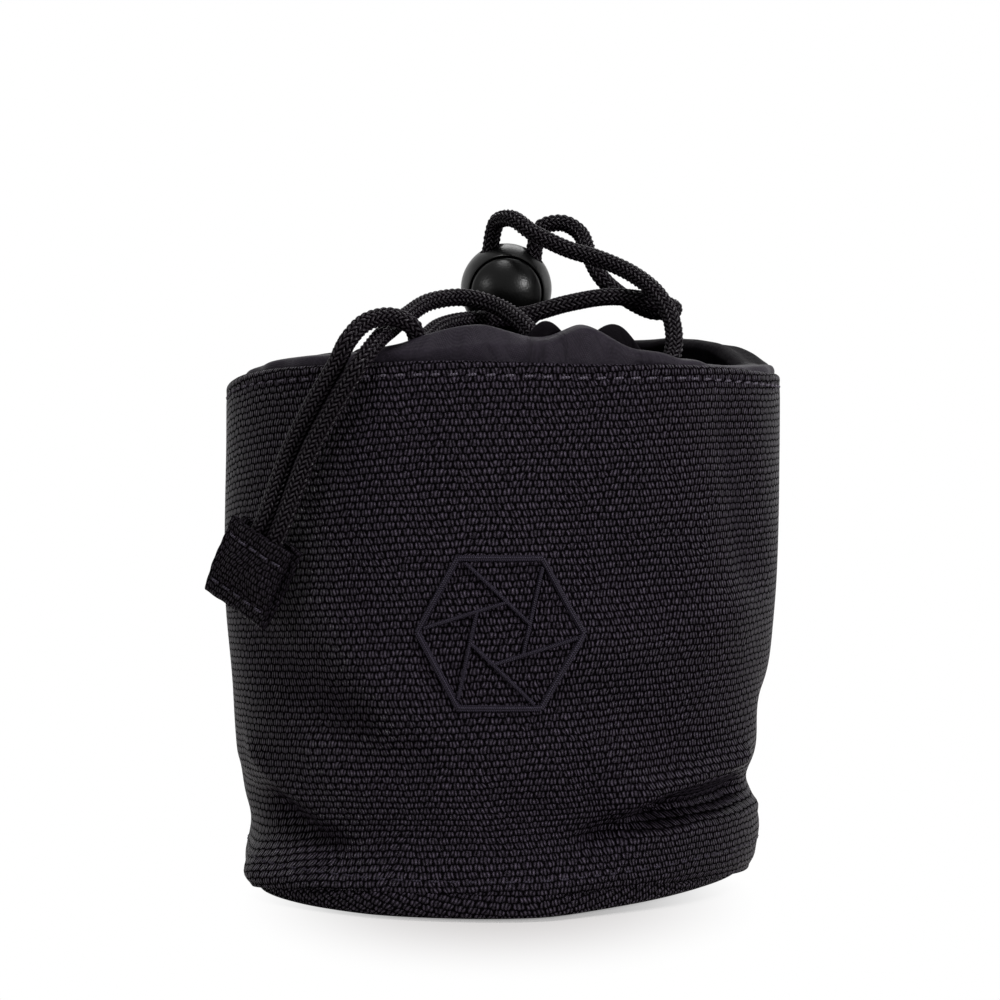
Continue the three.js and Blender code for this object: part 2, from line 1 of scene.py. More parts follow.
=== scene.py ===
import bmesh
import bpy
import numpy as np
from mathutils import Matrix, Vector


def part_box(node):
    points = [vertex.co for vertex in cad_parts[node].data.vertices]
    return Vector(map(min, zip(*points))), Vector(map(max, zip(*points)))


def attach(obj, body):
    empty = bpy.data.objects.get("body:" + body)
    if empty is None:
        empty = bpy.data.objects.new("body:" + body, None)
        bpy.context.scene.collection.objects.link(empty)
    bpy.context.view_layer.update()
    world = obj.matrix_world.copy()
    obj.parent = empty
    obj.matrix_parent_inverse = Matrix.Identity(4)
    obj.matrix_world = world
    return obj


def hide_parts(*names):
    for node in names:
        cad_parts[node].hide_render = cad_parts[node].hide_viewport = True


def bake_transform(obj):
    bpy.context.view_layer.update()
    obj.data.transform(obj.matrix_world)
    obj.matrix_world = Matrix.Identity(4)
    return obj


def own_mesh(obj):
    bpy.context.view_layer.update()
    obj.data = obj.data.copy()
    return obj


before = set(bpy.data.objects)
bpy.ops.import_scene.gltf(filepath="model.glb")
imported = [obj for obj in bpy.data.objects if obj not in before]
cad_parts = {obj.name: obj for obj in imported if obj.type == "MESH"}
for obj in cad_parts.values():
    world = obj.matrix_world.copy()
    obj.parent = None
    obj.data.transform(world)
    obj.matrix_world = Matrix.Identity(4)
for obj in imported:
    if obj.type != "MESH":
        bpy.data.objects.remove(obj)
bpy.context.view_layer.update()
mm = 0.001  # sizes and places below are in millimetres, angles round the pouch in degrees from +X
print("frame loaded:", len(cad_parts), "nodes")


def boxOf(node):
    return [np.array(corner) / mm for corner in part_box(node)]


def unit(vectors):
    return vectors / np.linalg.norm(vectors, axis=-1, keepdims=True)


def ease(low, high, value):  # 0 below low, 1 above high, an s-curve between
    share = np.clip((value - low) / (high - low), 0, 1)
    return share * share * (3 - 2 * share)


def bell(distance, width):
    return np.exp(-((distance / width) ** 2))


def apart(angle, other):  # signed difference of two angles, from -180 to 180
    return (np.asarray(angle) - other + 180) % 360 - 180


# Camera at the photograph's place: level, square on to the front
view = {"distance": 390, "height": 70, "halfWidth": 95.5}
camera = bpy.data.objects.new("camera", bpy.data.cameras.new("camera"))
bpy.context.scene.collection.objects.link(camera)
camera.data.angle = 2 * float(np.arctan(view["halfWidth"] / view["distance"]))
camera.data.clip_start = 0.01
camera.location = (0, -view["distance"] * mm, view["height"] * mm)
camera.rotation_euler = (np.pi / 2, 0, 0)
bpy.context.scene.camera = camera


# Mesh making: a grid of points, rows by columns, becomes quads
def gridQuads(rows, columns, wrapRows, wrapColumns):
    row, column = np.meshgrid(
        np.arange(rows if wrapRows else rows - 1),
        np.arange(columns if wrapColumns else columns - 1),
        indexing="ij",
    )
    return [(row, column), (row, column + 1), (row + 1, column + 1), (row + 1, column)]


def lengths(grid, axis, wrapped):  # mean length along an axis up to each line, and the whole
    ahead = np.roll(grid, -1, axis=axis) - grid
    step = np.linalg.norm(ahead, axis=-1).mean(axis=1 - axis)
    whole = step.sum() if wrapped else step[:-1].sum()
    return np.concatenate([[0], np.cumsum(step)[:-1]]), whole


def addGrid(name, grid, material, wrapRows=False, wrapColumns=True, cell=None, clothMap=None, values=None):
    # one grid, or a stack of alike grids; the map holds millimetres round and along the cloth
    stack = grid if grid.ndim == 4 else grid[None]
    count, rows, columns = stack.shape[:3]
    corners = gridQuads(rows, columns, wrapRows, wrapColumns)
    quads = np.stack([(r % rows) * columns + c % columns for r, c in corners], -1).reshape(-1, 4)
    around, wholeAround = lengths(stack[0], 1, wrapColumns)
    along, wholeAlong = lengths(stack[0], 0, wrapRows)
    if cell:  # a whole number of weave cells goes round
        fit = round(wholeAround / cell) * cell / wholeAround
        around, wholeAround = around * fit, wholeAround * fit
    if clothMap is None:
        flat = [
            np.stack([around[c % columns] + (c // columns) * wholeAround,
                      along[r % rows] + (r // rows) * wholeAlong], -1)
            for r, c in corners
        ]
    else:
        flat = [clothMap[r % rows, c % columns] for r, c in corners]
    flat = np.stack(flat, 2).reshape(-1, 4, 2)
    allQuads = (quads[None] + np.arange(count)[:, None, None] * rows * columns).reshape(-1, 4)
    points = stack.reshape(-1, 3)
    a, b, c, d = (points[allQuads[:, i]] for i in range(4))
    if np.einsum("ij,ij->", a, np.cross(b, c) + np.cross(c, d)) < 0:  # inside out
        allQuads, flat = allQuads[:, ::-1], flat[:, ::-1]
    mesh = bpy.data.meshes.new(name)
    mesh.from_pydata((points * mm).tolist(), [], allQuads.tolist())
    layer = mesh.uv_layers.new(name="cloth")
    layer.uv.foreach_set("vector", np.tile(flat, (count, 1, 1)).astype(np.float32).ravel())
    for key, value in (values or {}).items():
        spread = np.broadcast_to(value, stack.shape[:3]).astype(np.float32)
        mesh.attributes.new(key, "FLOAT", "POINT").data.foreach_set("value", spread.ravel())
    work = bmesh.new()
    work.from_mesh(mesh)
    bmesh.ops.remove_doubles(work, verts=work.verts, dist=1e-7)  # closes poles
    work.to_mesh(mesh)
    work.free()
    mesh.shade_smooth()
    mesh.materials.append(material)
    piece = bpy.data.objects.new(name, mesh)
    bpy.context.scene.collection.objects.link(piece)
    return piece


def thicken(grid, thickness, wrapped=True):
    # both faces of a sheet, along the grid's own normals, as one loop of rows
    along = np.gradient(grid, axis=0)
    across = np.gradient(grid, axis=1)
    if wrapped:
        across = np.roll(grid, -1, axis=1) - np.roll(grid, 1, axis=1)
    half = unit(np.cross(along, across)) * thickness / 2
    return np.concatenate([grid + half, (grid - half)[::-1]])


def smoothPath(points, step):
    # centripetal curve through the points, cut into equal steps
    points = np.asarray(points, float)
    ends = np.concatenate([[2 * points[0] - points[1]], points, [2 * points[-1] - points[-2]]])
    knots = np.linalg.norm(np.diff(ends, axis=0), axis=1)[:, None] ** 0.5
    before, here, after = knots[:-2], knots[1:-1], knots[2:]
    p0, p1, p2, p3 = ends[:-3], ends[1:-2], ends[2:-1], ends[3:]
    leave = ((p1 - p0) / before - (p2 - p0) / (before + here)) * here + p2 - p1
    arrive = ((p3 - p2) / after - (p3 - p1) / (here + after)) * here + p2 - p1
    t = np.linspace(0, 1, 40, endpoint=False)[None, :, None]
    bend = (p2 - p1)[:, None] * (3 * t**2 - 2 * t**3)
    bend = bend + leave[:, None] * (t**3 - 2 * t**2 + t) + arrive[:, None] * (t**3 - t**2)
    fine = np.concatenate([(p1[:, None] + bend).reshape(-1, 3), points[-1:]])
    far = np.concatenate([[0], np.cumsum(np.linalg.norm(np.diff(fine, axis=0), axis=1))])
    at = np.linspace(0, far[-1], max(int(round(far[-1] / step)), 2) + 1)
    return np.stack([np.interp(at, far, fine[:, i]) for i in range(3)], -1)


def pathFrames(path):
    # two side directions at each point, without twist: a side direction is carried on by the least turn
    # from each tangent to the next, and what it slips against a fixed choice is summed and taken out
    tangent = unit(np.gradient(path, axis=0))
    side = unit(np.cross(tangent, np.eye(3)[np.abs(tangent).argmin(1)]))
    other = np.cross(tangent, side)
    turn = np.cross(tangent[:-1], tangent[1:])
    cosine = np.sum(tangent[:-1] * tangent[1:], 1, keepdims=True)
    lifted = turn * np.sum(turn * side[:-1], 1, keepdims=True) / (1 + cosine)
    carried = side[:-1] * cosine + np.cross(turn, side[:-1]) + lifted
    slip = np.arctan2(np.sum(carried * other[1:], 1), np.sum(carried * side[1:], 1))
    angle = np.concatenate([[0], np.cumsum(slip)])[:, None]
    return np.cos(angle) * side + np.sin(angle) * other, np.cos(angle) * other - np.sin(angle) * side


def carry(path, radius, columns):
    # a round section along a path, with a pole at each end; radius may change along and round the path
    side, other = pathFrames(path)
    around = np.linspace(0, 2 * np.pi, columns, endpoint=False)
    reach = np.broadcast_to(radius, (len(path), columns))[:, :, None]
    ring = side[:, None] * np.cos(around)[:, None] + other[:, None] * np.sin(around)[:, None]
    tube = path[:, None] + ring * reach
    poles = [np.repeat(end[None, None], columns, axis=1) for end in (path[0], path[-1])]
    return np.concatenate([poles[0], tube, poles[1]])


def seat(piece, body, slotName, *nodes):
    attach(piece, body)
    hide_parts(*nodes)
    return piece


# Shader building
def hexColour(text):  # sRGB hex to linear
    value = np.array([int(text[at:at + 2], 16) for at in (0, 2, 4)]) / 255
    linear = np.where(value <= 0.04045, value / 12.92, ((value + 0.055) / 1.055) ** 2.4)
    return (*linear.tolist(), 1.0)


def setInputs(node, inputs):  # a socket is linked, a node is linked from its first output, the rest is set
    for key, value in inputs.items():
        source = value.outputs[0] if isinstance(value, bpy.types.Node) else value
        if isinstance(source, bpy.types.NodeSocket):
            node.id_data.links.new(source, node.inputs[key])
        else:
            node.inputs[key].default_value = source


def addNode(tree, kind, settings=None, inputs=None):
    node = tree.nodes.new("ShaderNode" + kind)
    for key, value in (settings or {}).items():
        setattr(node, key, value)
    setInputs(node, inputs or {})
    return node


def startMaterial(name, sockets):
    material = bpy.data.materials.new(name)
    material.use_nodes = True
    shader = material.node_tree.nodes["Principled BSDF"]
    setInputs(shader, sockets)
    return material, material.node_tree, shader


def waveScale(period):  # the Wave Texture's scale for bands that are this far apart
    return 2 * np.pi / (20 * period)


def twoTone(shader, pattern, size, strength=0.8):
    # low colour to high colour by a pattern, which the bump follows
    tree = shader.id_data
    colour = addNode(tree, "Mix", {"data_type": "RGBA"}, {
        "Factor": pattern, 6: hexColour(size["low"]), 7: hexColour(size["high"])})
    bump = addNode(tree, "Bump", {}, {
        "Height": pattern, "Distance": size["relief"] * mm, "Strength": strength})
    setInputs(shader, {"Base Color": colour.outputs[2], "Normal": bump})


ballistic = {
    # a knob of yarn in each cell: cell and row, the knob's half width in cells and half height in row pairs
    "cell": 2.04, "row": 1.2, "halfWidth": 0.485, "halfHeight": 0.262,
    # bundles in a knob, how deep their lines are, how they fan out and slant; the yarns' slack and drift
    "bundles": 3, "bundleDepth": 0.8, "fan": 0.4, "slant": 1.3, "slack": 25 / 3, "drift": 0.9, "tilt": -0.05,
    # dark is painted shade for the slots, and the last colour a painted glint on single bundles
    "relief": 1.4, "shine": 0.06, "dark": "050405", "pale": "1f1b21", "paintedGlint": "463f4b",
}


def ballisticNylon(name, size):
    # thick untwisted nylon yarn in a basket weave: rounded knobs of three satin bundles each, staggered from
    # row to row so that they interlock; painted shade makes the slots between them and the knobs' low
    # edges near black
    material, tree, shader = startMaterial(name, {"Roughness": 0.28})
    cloth = addNode(tree, "UVMap", {"uv_map": "cloth"})
    slack = addNode(tree, "TexNoise", {"noise_dimensions": "2D"},
                    {"Vector": cloth, "Scale": 1 / size["slack"], "Detail": 4.0, "Roughness": 0.6})
    grain = addNode(tree, "Mapping", {}, {"Vector": cloth, "Rotation": (0, 0, size["tilt"])})
    drift = addNode(tree, "VectorMath", {"operation": "MULTIPLY_ADD"}, {
        0: slack.outputs["Color"], 1: (size["drift"], size["drift"], 0), 2: grain})
    across, up = size["halfWidth"], size["halfHeight"]
    turns = np.pi * size["bundles"] / 2
    lean = addNode(tree, "MapRange", {}, {
        "Value": slack, "From Min": 0.35, "From Max": 0.65,
        "To Min": -turns * size["fan"], "To Max": turns * size["fan"]})
    tone = addNode(tree, "SeparateColor", {}, {0: slack.outputs["Color"]})
    slant = addNode(tree, "MapRange", {"clamp": False}, {
        "Value": tone.outputs["Green"], "From Min": 0.3, "From Max": 0.7,
        "To Min": -size["slant"], "To Max": size["slant"]})
    rows = []
    for offset in (0.0, 0.5):  # every second row, then the rows between, half a cell along
        cells = addNode(tree, "VectorMath", {"operation": "MULTIPLY_ADD"}, {
            0: drift, 1: (1 / size["cell"], 0.5 / size["row"], 0), 2: (offset, offset, 0)})
        inCell = addNode(tree, "VectorMath", {"operation": "FRACTION"}, {0: cells})
        # the knob is a dome: the root of 1 less the fourth power across and the square up
        knob = addNode(tree, "VectorMath", {"operation": "MULTIPLY_ADD"}, {
            0: inCell, 1: (1 / across, 1 / up, 0), 2: (-0.5 / across, -0.5 / up, 0)})
        place = addNode(tree, "SeparateXYZ", {}, {0: knob})
        squared = addNode(tree, "VectorMath", {"operation": "MULTIPLY"}, {0: knob, 1: knob})
        bowed = addNode(tree, "VectorMath", {"operation": "MULTIPLY"}, {0: squared, 1: squared})
        sideways = addNode(tree, "VectorMath", {"operation": "DOT_PRODUCT"}, {0: bowed, 1: (1, 0, 0)})
        upright = addNode(tree, "VectorMath", {"operation": "DOT_PRODUCT"}, {0: squared, 1: (0, 1, 0)})
        both = addNode(tree, "Math", {"operation": "ADD"},
                       {0: sideways.outputs["Value"], 1: upright.outputs["Value"]})
        within = addNode(tree, "Math", {"operation": "SUBTRACT", "use_clamp": True}, {0: 1.0, 1: both})
        dome = addNode(tree, "Math", {"operation": "SQRT"}, {0: within})
        # the bundles are cosine waves across the knob that lean, and fan out towards its top or its foot
        spread = addNode(tree, "Math", {"operation": "MULTIPLY_ADD"},
                         {0: place.outputs["Y"], 1: lean, 2: turns})
        leaning = addNode(tree, "Math", {"operation": "MULTIPLY"}, {0: place.outputs["Y"], 1: slant})
        phase = addNode(tree, "Math", {"operation": "MULTIPLY_ADD"},
                        {0: place.outputs["X"], 1: spread, 2: leaning})
        wave = addNode(tree, "Math", {"operation": "COSINE"}, {0: phase})
        bundle = addNode(tree, "Math", {"operation": "ABSOLUTE"}, {0: wave})
        ridge = addNode(tree, "Math", {"operation": "MULTIPLY_ADD"},
                        {0: bundle, 1: size["bundleDepth"], 2: 1 - size["bundleDepth"]})
        rows.append(addNode(tree, "Math", {"operation": "MULTIPLY"}, {0: dome, 1: ridge}))
    height = addNode(tree, "Math", {"operation": "MAXIMUM"}, {0: rows[0], 1: rows[1]})
    # painted glints: single bundles catch the light differently, painted as a tone that brightens towards the
    # glint colour over about a bundle's width
    fleck = addNode(tree, "TexNoise", {"noise_dimensions": "2D"},
                    {"Vector": cloth, "Scale": 3 / size["cell"], "Detail": 2.0})
    bright = addNode(tree, "MapRange", {}, {"Value": fleck, "From Min": 0.32, "From Max": 0.72})
    yarn = addNode(tree, "Mix", {"data_type": "RGBA"}, {
        "Factor": bright, 6: hexColour(size["pale"]), 7: hexColour(size["paintedGlint"])})
    # painted shade: the lower the yarn lies, the nearer its colour comes to the near-black dark
    shade = addNode(tree, "MapRange", {"interpolation_type": "SMOOTHSTEP"}, {
        "Value": height, "From Min": 0.08, "From Max": 0.95})
    colour = addNode(tree, "Mix", {"data_type": "RGBA"}, {
        "Factor": shade, 6: hexColour(size["dark"]), 7: yarn.outputs[2]})
    shine = addNode(tree, "MapRange", {}, {
        "Value": height, "From Min": 0.3, "From Max": 0.9, "To Max": size["shine"]})
    bump = addNode(tree, "Bump", {}, {"Height": height, "Distance": size["relief"] * mm, "Strength": 1.0})
    setInputs(shader, {"Base Color": colour.outputs[2], "Specular IOR Level": shine, "Normal": bump})
    return material


# inner is painted shade: the colour of the collar's inner face, which lies in shade, where it also shines
# less
taffeta = {
    "thread": 0.38, "gap": 0.152, "relief": 0.035, "patch": 7.0, "crease": 0.95,
    "shine": 0.03, "innerShine": 0.009, "dark": "060508", "pale": "262229", "inner": "0b090c",
}


def nylonTaffeta(name, size):
    # thin plain-woven nylon, calendered smooth: a soft sheen, partly painted as slow pale patches, creases,
    # and a weave that only just shows; the inner face is coloured dull black, with less shine, as painted
    # shade; the real threads are about 0.2 mm apart and are drawn coarser so that they show
    material, tree, shader = startMaterial(name, {"Roughness": 0.42})
    cloth = addNode(tree, "UVMap", {"uv_map": "cloth"})
    cells = addNode(tree, "TexBrick", {"offset": 0.5, "offset_frequency": 2}, {
        "Vector": cloth, "Color1": hexColour(size["dark"]), "Color2": hexColour(size["pale"]),
        "Mortar": hexColour(size["dark"]), "Scale": 1.0, "Mortar Size": size["gap"],
        "Mortar Smooth": 1.0, "Bias": 0.0, "Brick Width": size["thread"], "Row Height": size["thread"]})
    # painted sheen: a slow noise lightens the colour towards pale in patches; the same noise makes the
    # creases
    creaseAndSheen = addNode(tree, "TexNoise", {}, {"Vector": cloth, "Scale": 1 / size["patch"], "Detail": 4.0})
    colour = addNode(tree, "Mix", {"data_type": "RGBA"}, {
        "Factor": creaseAndSheen, 6: cells.outputs["Color"], 7: hexColour(size["pale"])})
    # painted shade: the inner face, which lies in shade, is mixed to the near-black inner colour and shines
    # less
    turned = addNode(tree, "Attribute", {"attribute_name": "shadedInnerFace"})
    colour = addNode(tree, "Mix", {"data_type": "RGBA"}, {
        "Factor": turned.outputs["Fac"], 6: colour.outputs[2], 7: hexColour(size["inner"])})
    shine = addNode(tree, "MapRange", {}, {
        "Value": turned.outputs["Fac"], "To Min": size["shine"], "To Max": size["innerShine"]})
    threads = addNode(tree, "Bump", {"invert": True}, {
        "Height": cells.outputs["Fac"], "Distance": size["relief"] * mm, "Strength": 1.0})
    creases = addNode(tree, "Bump", {}, {
        "Height": creaseAndSheen, "Distance": size["crease"] * mm, "Strength": 0.8, "Normal": threads})
    setInputs(shader, {"Base Color": colour.outputs[2], "Specular IOR Level": shine, "Normal": creases})
    return material


braid = {
    # high and low are the painted light and painted shade colours of the plaits, laid by their height
    "carriers": 12, "pitch": 1.05, "shine": 0.28, "high": "211c22", "low": "020102",
    # the plaits' relief, their height where they go under, and the height that lies on the cord's own radius
    "relief": 0.72, "under": 0.35, "level": 0.75,
    # fibres in a plait: their spacing, depth, shade, and slant to each side of the cord's line in radians
    "fibre": 0.16, "fibreDepth": 0.04, "fibreShade": 0.35, "fibreSlant": 0.75,
}


def braidedNylon(name, size):
    # round braided cord of many filaments: plaits with a soft shine along their fibres; painted light and
    # shade make their tops light and their sides and the gaps between them black
    material, tree, shader = startMaterial(name, {"Roughness": 0.33})
    cloth = addNode(tree, "UVMap", {"uv_map": "cloth"})
    high = addNode(tree, "Attribute", {"attribute_name": "plaitHeight"})
    lay = addNode(tree, "Attribute", {"attribute_name": "plaitLay"})
    fibres = []
    for turn in (size["fibreSlant"], -size["fibreSlant"]):
        turned = addNode(tree, "Mapping", {}, {"Vector": cloth, "Rotation": (0, 0, turn)})
        fibres.append(addNode(tree, "TexWave", {"bands_direction": "X"}, {
            "Vector": turned, "Scale": waveScale(size["fibre"]), "Distortion": 1.5, "Detail": 2.0}))
    fibre = addNode(tree, "Mix", {"data_type": "FLOAT"}, {
        "Factor": lay.outputs["Fac"], 2: fibres[0].outputs["Fac"], 3: fibres[1].outputs["Fac"]})
    shade = addNode(tree, "Math", {"operation": "MULTIPLY"}, {0: fibre, 1: size["fibreShade"]})
    tone = addNode(tree, "Math", {"operation": "SUBTRACT"}, {0: high.outputs["Fac"], 1: shade})
    # painted light and shade: a plait's top is coloured light, its sides and the gaps between plaits black
    lit = addNode(tree, "MapRange", {"interpolation_type": "SMOOTHSTEP"}, {
        "Value": tone, "From Min": 0.4, "From Max": 1.0})
    colour = addNode(tree, "Mix", {"data_type": "RGBA"}, {
        "Factor": lit, 6: hexColour(size["low"]), 7: hexColour(size["high"])})
    bump = addNode(tree, "Bump", {},
                   {"Height": fibre, "Distance": size["fibreDepth"] * mm, "Strength": 0.7})
    shine = addNode(tree, "MapRange", {}, {
        "Value": tone, "From Min": 0.5, "From Max": 0.95, "To Max": size["shine"]})
    setInputs(shader, {"Base Color": colour.outputs[2], "Specular IOR Level": shine, "Normal": bump})
    return material


acetal = {
    "colour": "020202", "shine": 0.13, "grain": 0.35, "relief": 0.055, "handling": 5.0,
    "gloss": (0.28, 0.33),
}


def mouldedAcetal(name, size):
    # black acetal from a fine spark-eroded mould: satin, with a grain that only breaks up the highlights
    material, tree, shader = startMaterial(name, {
        "Base Color": hexColour(size["colour"]), "Specular IOR Level": size["shine"]})
    place = addNode(tree, "TexCoord")
    grain = addNode(tree, "TexNoise", {},
                    {"Vector": place.outputs["Object"], "Scale": 1 / (size["grain"] * mm), "Detail": 3.0})
    handling = addNode(tree, "TexNoise", {}, {
        "Vector": place.outputs["Object"], "Scale": 1 / (size["handling"] * mm), "Detail": 3.0})
    gloss = addNode(tree, "MapRange", {},
                    {"Value": handling, "To Min": size["gloss"][0], "To Max": size["gloss"][1]})
    bump = addNode(tree, "Bump", {}, {"Height": grain, "Distance": size["relief"] * mm, "Strength": 0.5})
    setInputs(shader, {"Roughness": gloss, "Normal": bump})
    return material


thread = {"ply": 0.45, "slant": 0.6, "relief": 0.06, "high": "37333d", "low": "110f13"}


def polyesterThread(name, size):
    # three-ply polyester sewing thread: bright slanted plies with dark lines between them
    material, tree, shader = startMaterial(name, {"Specular IOR Level": 0.04, "Roughness": 0.35})
    cloth = addNode(tree, "UVMap", {"uv_map": "cloth"})
    slanted = addNode(tree, "Mapping", {}, {"Vector": cloth, "Rotation": (0, 0, size["slant"])})
    plies = addNode(tree, "TexWave", {"bands_direction": "Y"},
                    {"Vector": slanted, "Scale": waveScale(size["ply"])})
    twoTone(shader, plies.outputs["Fac"], size)
    return material


grosgrain = {"rib": 0.7, "relief": 0.15, "high": "211f24", "low": "0a090b"}


def grosgrainTape(name, size):
    # ribbed polyester binding tape: close ribs across its width, matt
    material, tree, shader = startMaterial(name, {"Specular IOR Level": 0.04, "Roughness": 0.7})
    cloth = addNode(tree, "UVMap", {"uv_map": "cloth"})
    ribs = addNode(tree, "TexWave", {"bands_direction": "X"},
                   {"Vector": cloth, "Scale": waveScale(size["rib"]), "Distortion": 0.4})
    twoTone(shader, ribs.outputs["Fac"], size)
    return material


cellFoam = {"cell": 0.8, "relief": 0.3, "high": "6a6a70", "low": "2c2c30"}


def openCellFoam(name, size):
    # grey open-cell polyurethane foam: small round hollows between pale walls, fully matt
    material, tree, shader = startMaterial(name, {"Roughness": 0.95, "Specular IOR Level": 0.2})
    place = addNode(tree, "TexCoord")
    cells = addNode(tree, "TexVoronoi", {},
                    {"Vector": place.outputs["Object"], "Scale": 1 / (size["cell"] * mm)})
    twoTone(shader, cells, size, strength=0.7)
    return material


steelWire = {"colour": "b4b6ba", "line": 0.3, "gloss": (0.2, 0.4)}


def springSteel(name, size):
    # drawn stainless wire: bright metal whose gloss changes in fine lines
    material, tree, shader = startMaterial(name, {"Metallic": 1.0, "Base Color": hexColour(size["colour"])})
    place = addNode(tree, "TexCoord")
    lines = addNode(tree, "TexNoise", {}, {
        "Vector": place.outputs["Object"], "Scale": 1 / (size["line"] * mm)})
    gloss = addNode(tree, "MapRange", {}, {
        "Value": lines, "To Min": size["gloss"][0], "To Max": size["gloss"][1]})
    setInputs(shader, {"Roughness": gloss})
    return material


wallNylon = ballisticNylon("ballistic nylon, basket weave", ballistic)
# the tab's weave is finer, with darker yarn and a darker painted glint
tabWeave = {**ballistic, "cell": 1.7, "row": 1.05, "relief": 0.4, "pale": "0d0a0e", "paintedGlint": "29242c"}
tabNylon = ballisticNylon("ballistic nylon, fine weave", tabWeave)
collarNylon = nylonTaffeta("nylon taffeta", taffeta)
cordNylon = braidedNylon("braided nylon cord", braid)
lockAcetal = mouldedAcetal("moulded acetal", acetal)
seamThread = polyesterThread("polyester sewing thread", thread)
rimThread = polyesterThread("polyester topstitch thread", {**thread, "high": "4c4751", "low": "19171b"})
emblemThread = polyesterThread("polyester embroidery thread", {**thread, "high": "2b2731", "low": "0b090c"})
bindingTape = grosgrainTape("grosgrain binding tape", grosgrain)
padFoam = openCellFoam("open-cell foam", cellFoam)
wireSteel = springSteel("stainless spring wire", steelWire)
print("materials made:", len(bpy.data.materials))

# The pouch's own shape, shared by every layer of its wall
wallLow, wallHigh = boxOf("outer_wall")
baseLow, baseHigh = boxOf("outer_base")
shape = {
    "rim": wallHigh[2], "halfWidth": wallHigh[0], "halfDepth": 45.0, "baseRadius": baseHigh[0],
    "seam": wallLow[2] - 0.03, "wallBottom": wallLow[2], "belly": 75, "sway": 0.25,
    "waistDepth": 1.7, "waistFront": 0.45, "waistHeight": 14.5, "waistSlope": 4.0, "waistSpread": 5.5,
    "cornerLift": 1.4, "cornerAngle": -36, "cornerSpread": 30, "cornerTop": 20,
    # each fold runs from (angle, height) to (angle, height): its width, and its depth inwards
    "folds": [
        (-68, 13.0, -52, 16.2, 2.1, 3.2), (-52, 16.2, -25, 17.4, 2.5, 3.5),
        (-14, 18.0, 10, 18.4, 3.2, 0.8), (-58, 19.4, -30, 23.6, 2.4, -2.5),
        (-64, 8.6, -4, 8.2, 3.8, -0.6), (-60, 12.4, -12, 13.4, 1.7, -0.9),
        (-72, 23.0, -67, 15.6, 2.4, 1.1), (-62, 33.0, -56, 30.0, 7.0, 2.0),
        (-64, 55.0, -60, 51.0, 8.0, 1.8), (-70, 44.5, -33, 50.3, 6.0, -1.7),
        (-172, 18.5, -142, 15.4, 2.4, 1.0), (-104, 25.0, -78, 14.0, 5.0, 1.3),
        (-118, 42, -98, 22, 6.0, -1.1), (-36, 80.0, -30, 60.0, 6.0, 1.3),
        (-142, 15.4, -128, 10.6, 3.0, 1.9), (-152, 24, -131, 14.8, 2.8, -1.2),
        (-146, 3.4, -84, 2.6, 5.5, -4.1), (-140, 2.2, -118, 2.0, 5.0, -1.3),
        (-103, 88.0, -104, 70.0, 4.5, 0.6), (-73, 88.0, -72, 68.0, 4.5, 0.6),
        (0, 92.0, 0, 60.0, 16.0, -0.9), (180, 93.5, 180, 84.0, 12.0, 1.0),
        (180, 46.0, 180, 32.0, 10.0, -0.8), (-2, 28.5, 8, 25.0, 6.0, 2.3), (-14, 4.0, 24, 4.0, 5.0, 0.3),
        (-144, 42.0, -124, 30.0, 6.0, 1.6), (35, 16.0, 75, 12.0, 3.4, 1.6),
        (110, 14.0, 150, 18.0, 3.2, 1.8), (60, 50.0, 110, 38.0, 8.0, 0.8),
        (150, 60.0, 172, 44.0, 7.0, 0.7), (8, 62.0, 24, 40.0, 7.0, 0.7),
    ],
}


def foldDepth(angle, height):
    # a slow sway round the upper wall, and the folds: each a bell across its line that fades past its ends
    total = shape["sway"] * np.sin(np.radians(3 * angle + 40)) * ease(25, 60, height)
    radius = shape["baseRadius"]
    for fromAngle, fromHeight, toAngle, toHeight, width, depth in shape["folds"]:
        span = np.array([np.radians(apart(toAngle, fromAngle)) * radius, toHeight - fromHeight])
        reach = np.linalg.norm(span)
        line = span / reach
        x, z = np.radians(apart(angle, fromAngle)) * radius, height - fromHeight
        along, across = x * line[0] + z * line[1], z * line[0] - x * line[1]
        beyond = np.maximum(np.abs(along - reach / 2) - reach / 2, 0)
        total = total + depth * bell(across, width) * bell(beyond, 2 * width)
    return total


def wallAt(angle, height, inset):
    # an oval that widens up to the belly, draws in at the waist and folds, moved in along its normal
    level = np.minimum(height, shape["rim"])
    widening = ease(0, shape["belly"], level)
    turn = np.radians(angle)
    waistHeight = shape["waistHeight"] + shape["waistSlope"] * np.cos(turn)
    sideways = shape["waistFront"] + (1 - shape["waistFront"]) * np.cos(turn) ** 2
    waist = shape["waistDepth"] * sideways * bell(level - waistHeight, shape["waistSpread"])
    wide = shape["baseRadius"] + (shape["halfWidth"] - shape["baseRadius"]) * widening - waist
    deep = shape["baseRadius"] + (shape["halfDepth"] - shape["baseRadius"]) * widening - waist
    outward = unit(np.stack(np.broadcast_arrays(np.cos(turn) / wide, np.sin(turn) / deep), -1))
    moved = inset + foldDepth(angle, level)
    lift = cornerLift(angle) * (1 - ease(shape["seam"], shape["cornerTop"], height))
    x = wide * np.cos(turn) - outward[..., 0] * moved
    y = deep * np.sin(turn) - outward[..., 1] * moved
    return np.stack(np.broadcast_arrays(x, y, height + lift), -1)


def cornerLift(angle):  # one side of the base stands a little off the table
    return shape["cornerLift"] * bell(apart(angle, shape["cornerAngle"]), shape["cornerSpread"])


def outwardAt(angle):
    turn = np.radians(angle)
    level = np.stack([np.cos(turn) / shape["halfWidth"], np.sin(turn) / shape["halfDepth"]], -1)
    return np.concatenate([unit(level), np.zeros((*level.shape[:-1], 1))], -1)


# Ball lock and end tab stand in frames of their own
def turnAbout(axis, degrees):
    c, s = np.cos(np.radians(degrees)), np.sin(np.radians(degrees))
    about = {"x": [[1, 0, 0], [0, c, -s], [0, s, c]], "y": [[c, 0, s], [0, 1, 0], [-s, 0, c]],
             "z": [[c, -s, 0], [s, c, 0], [0, 0, 1]]}
    return np.array(about[axis])


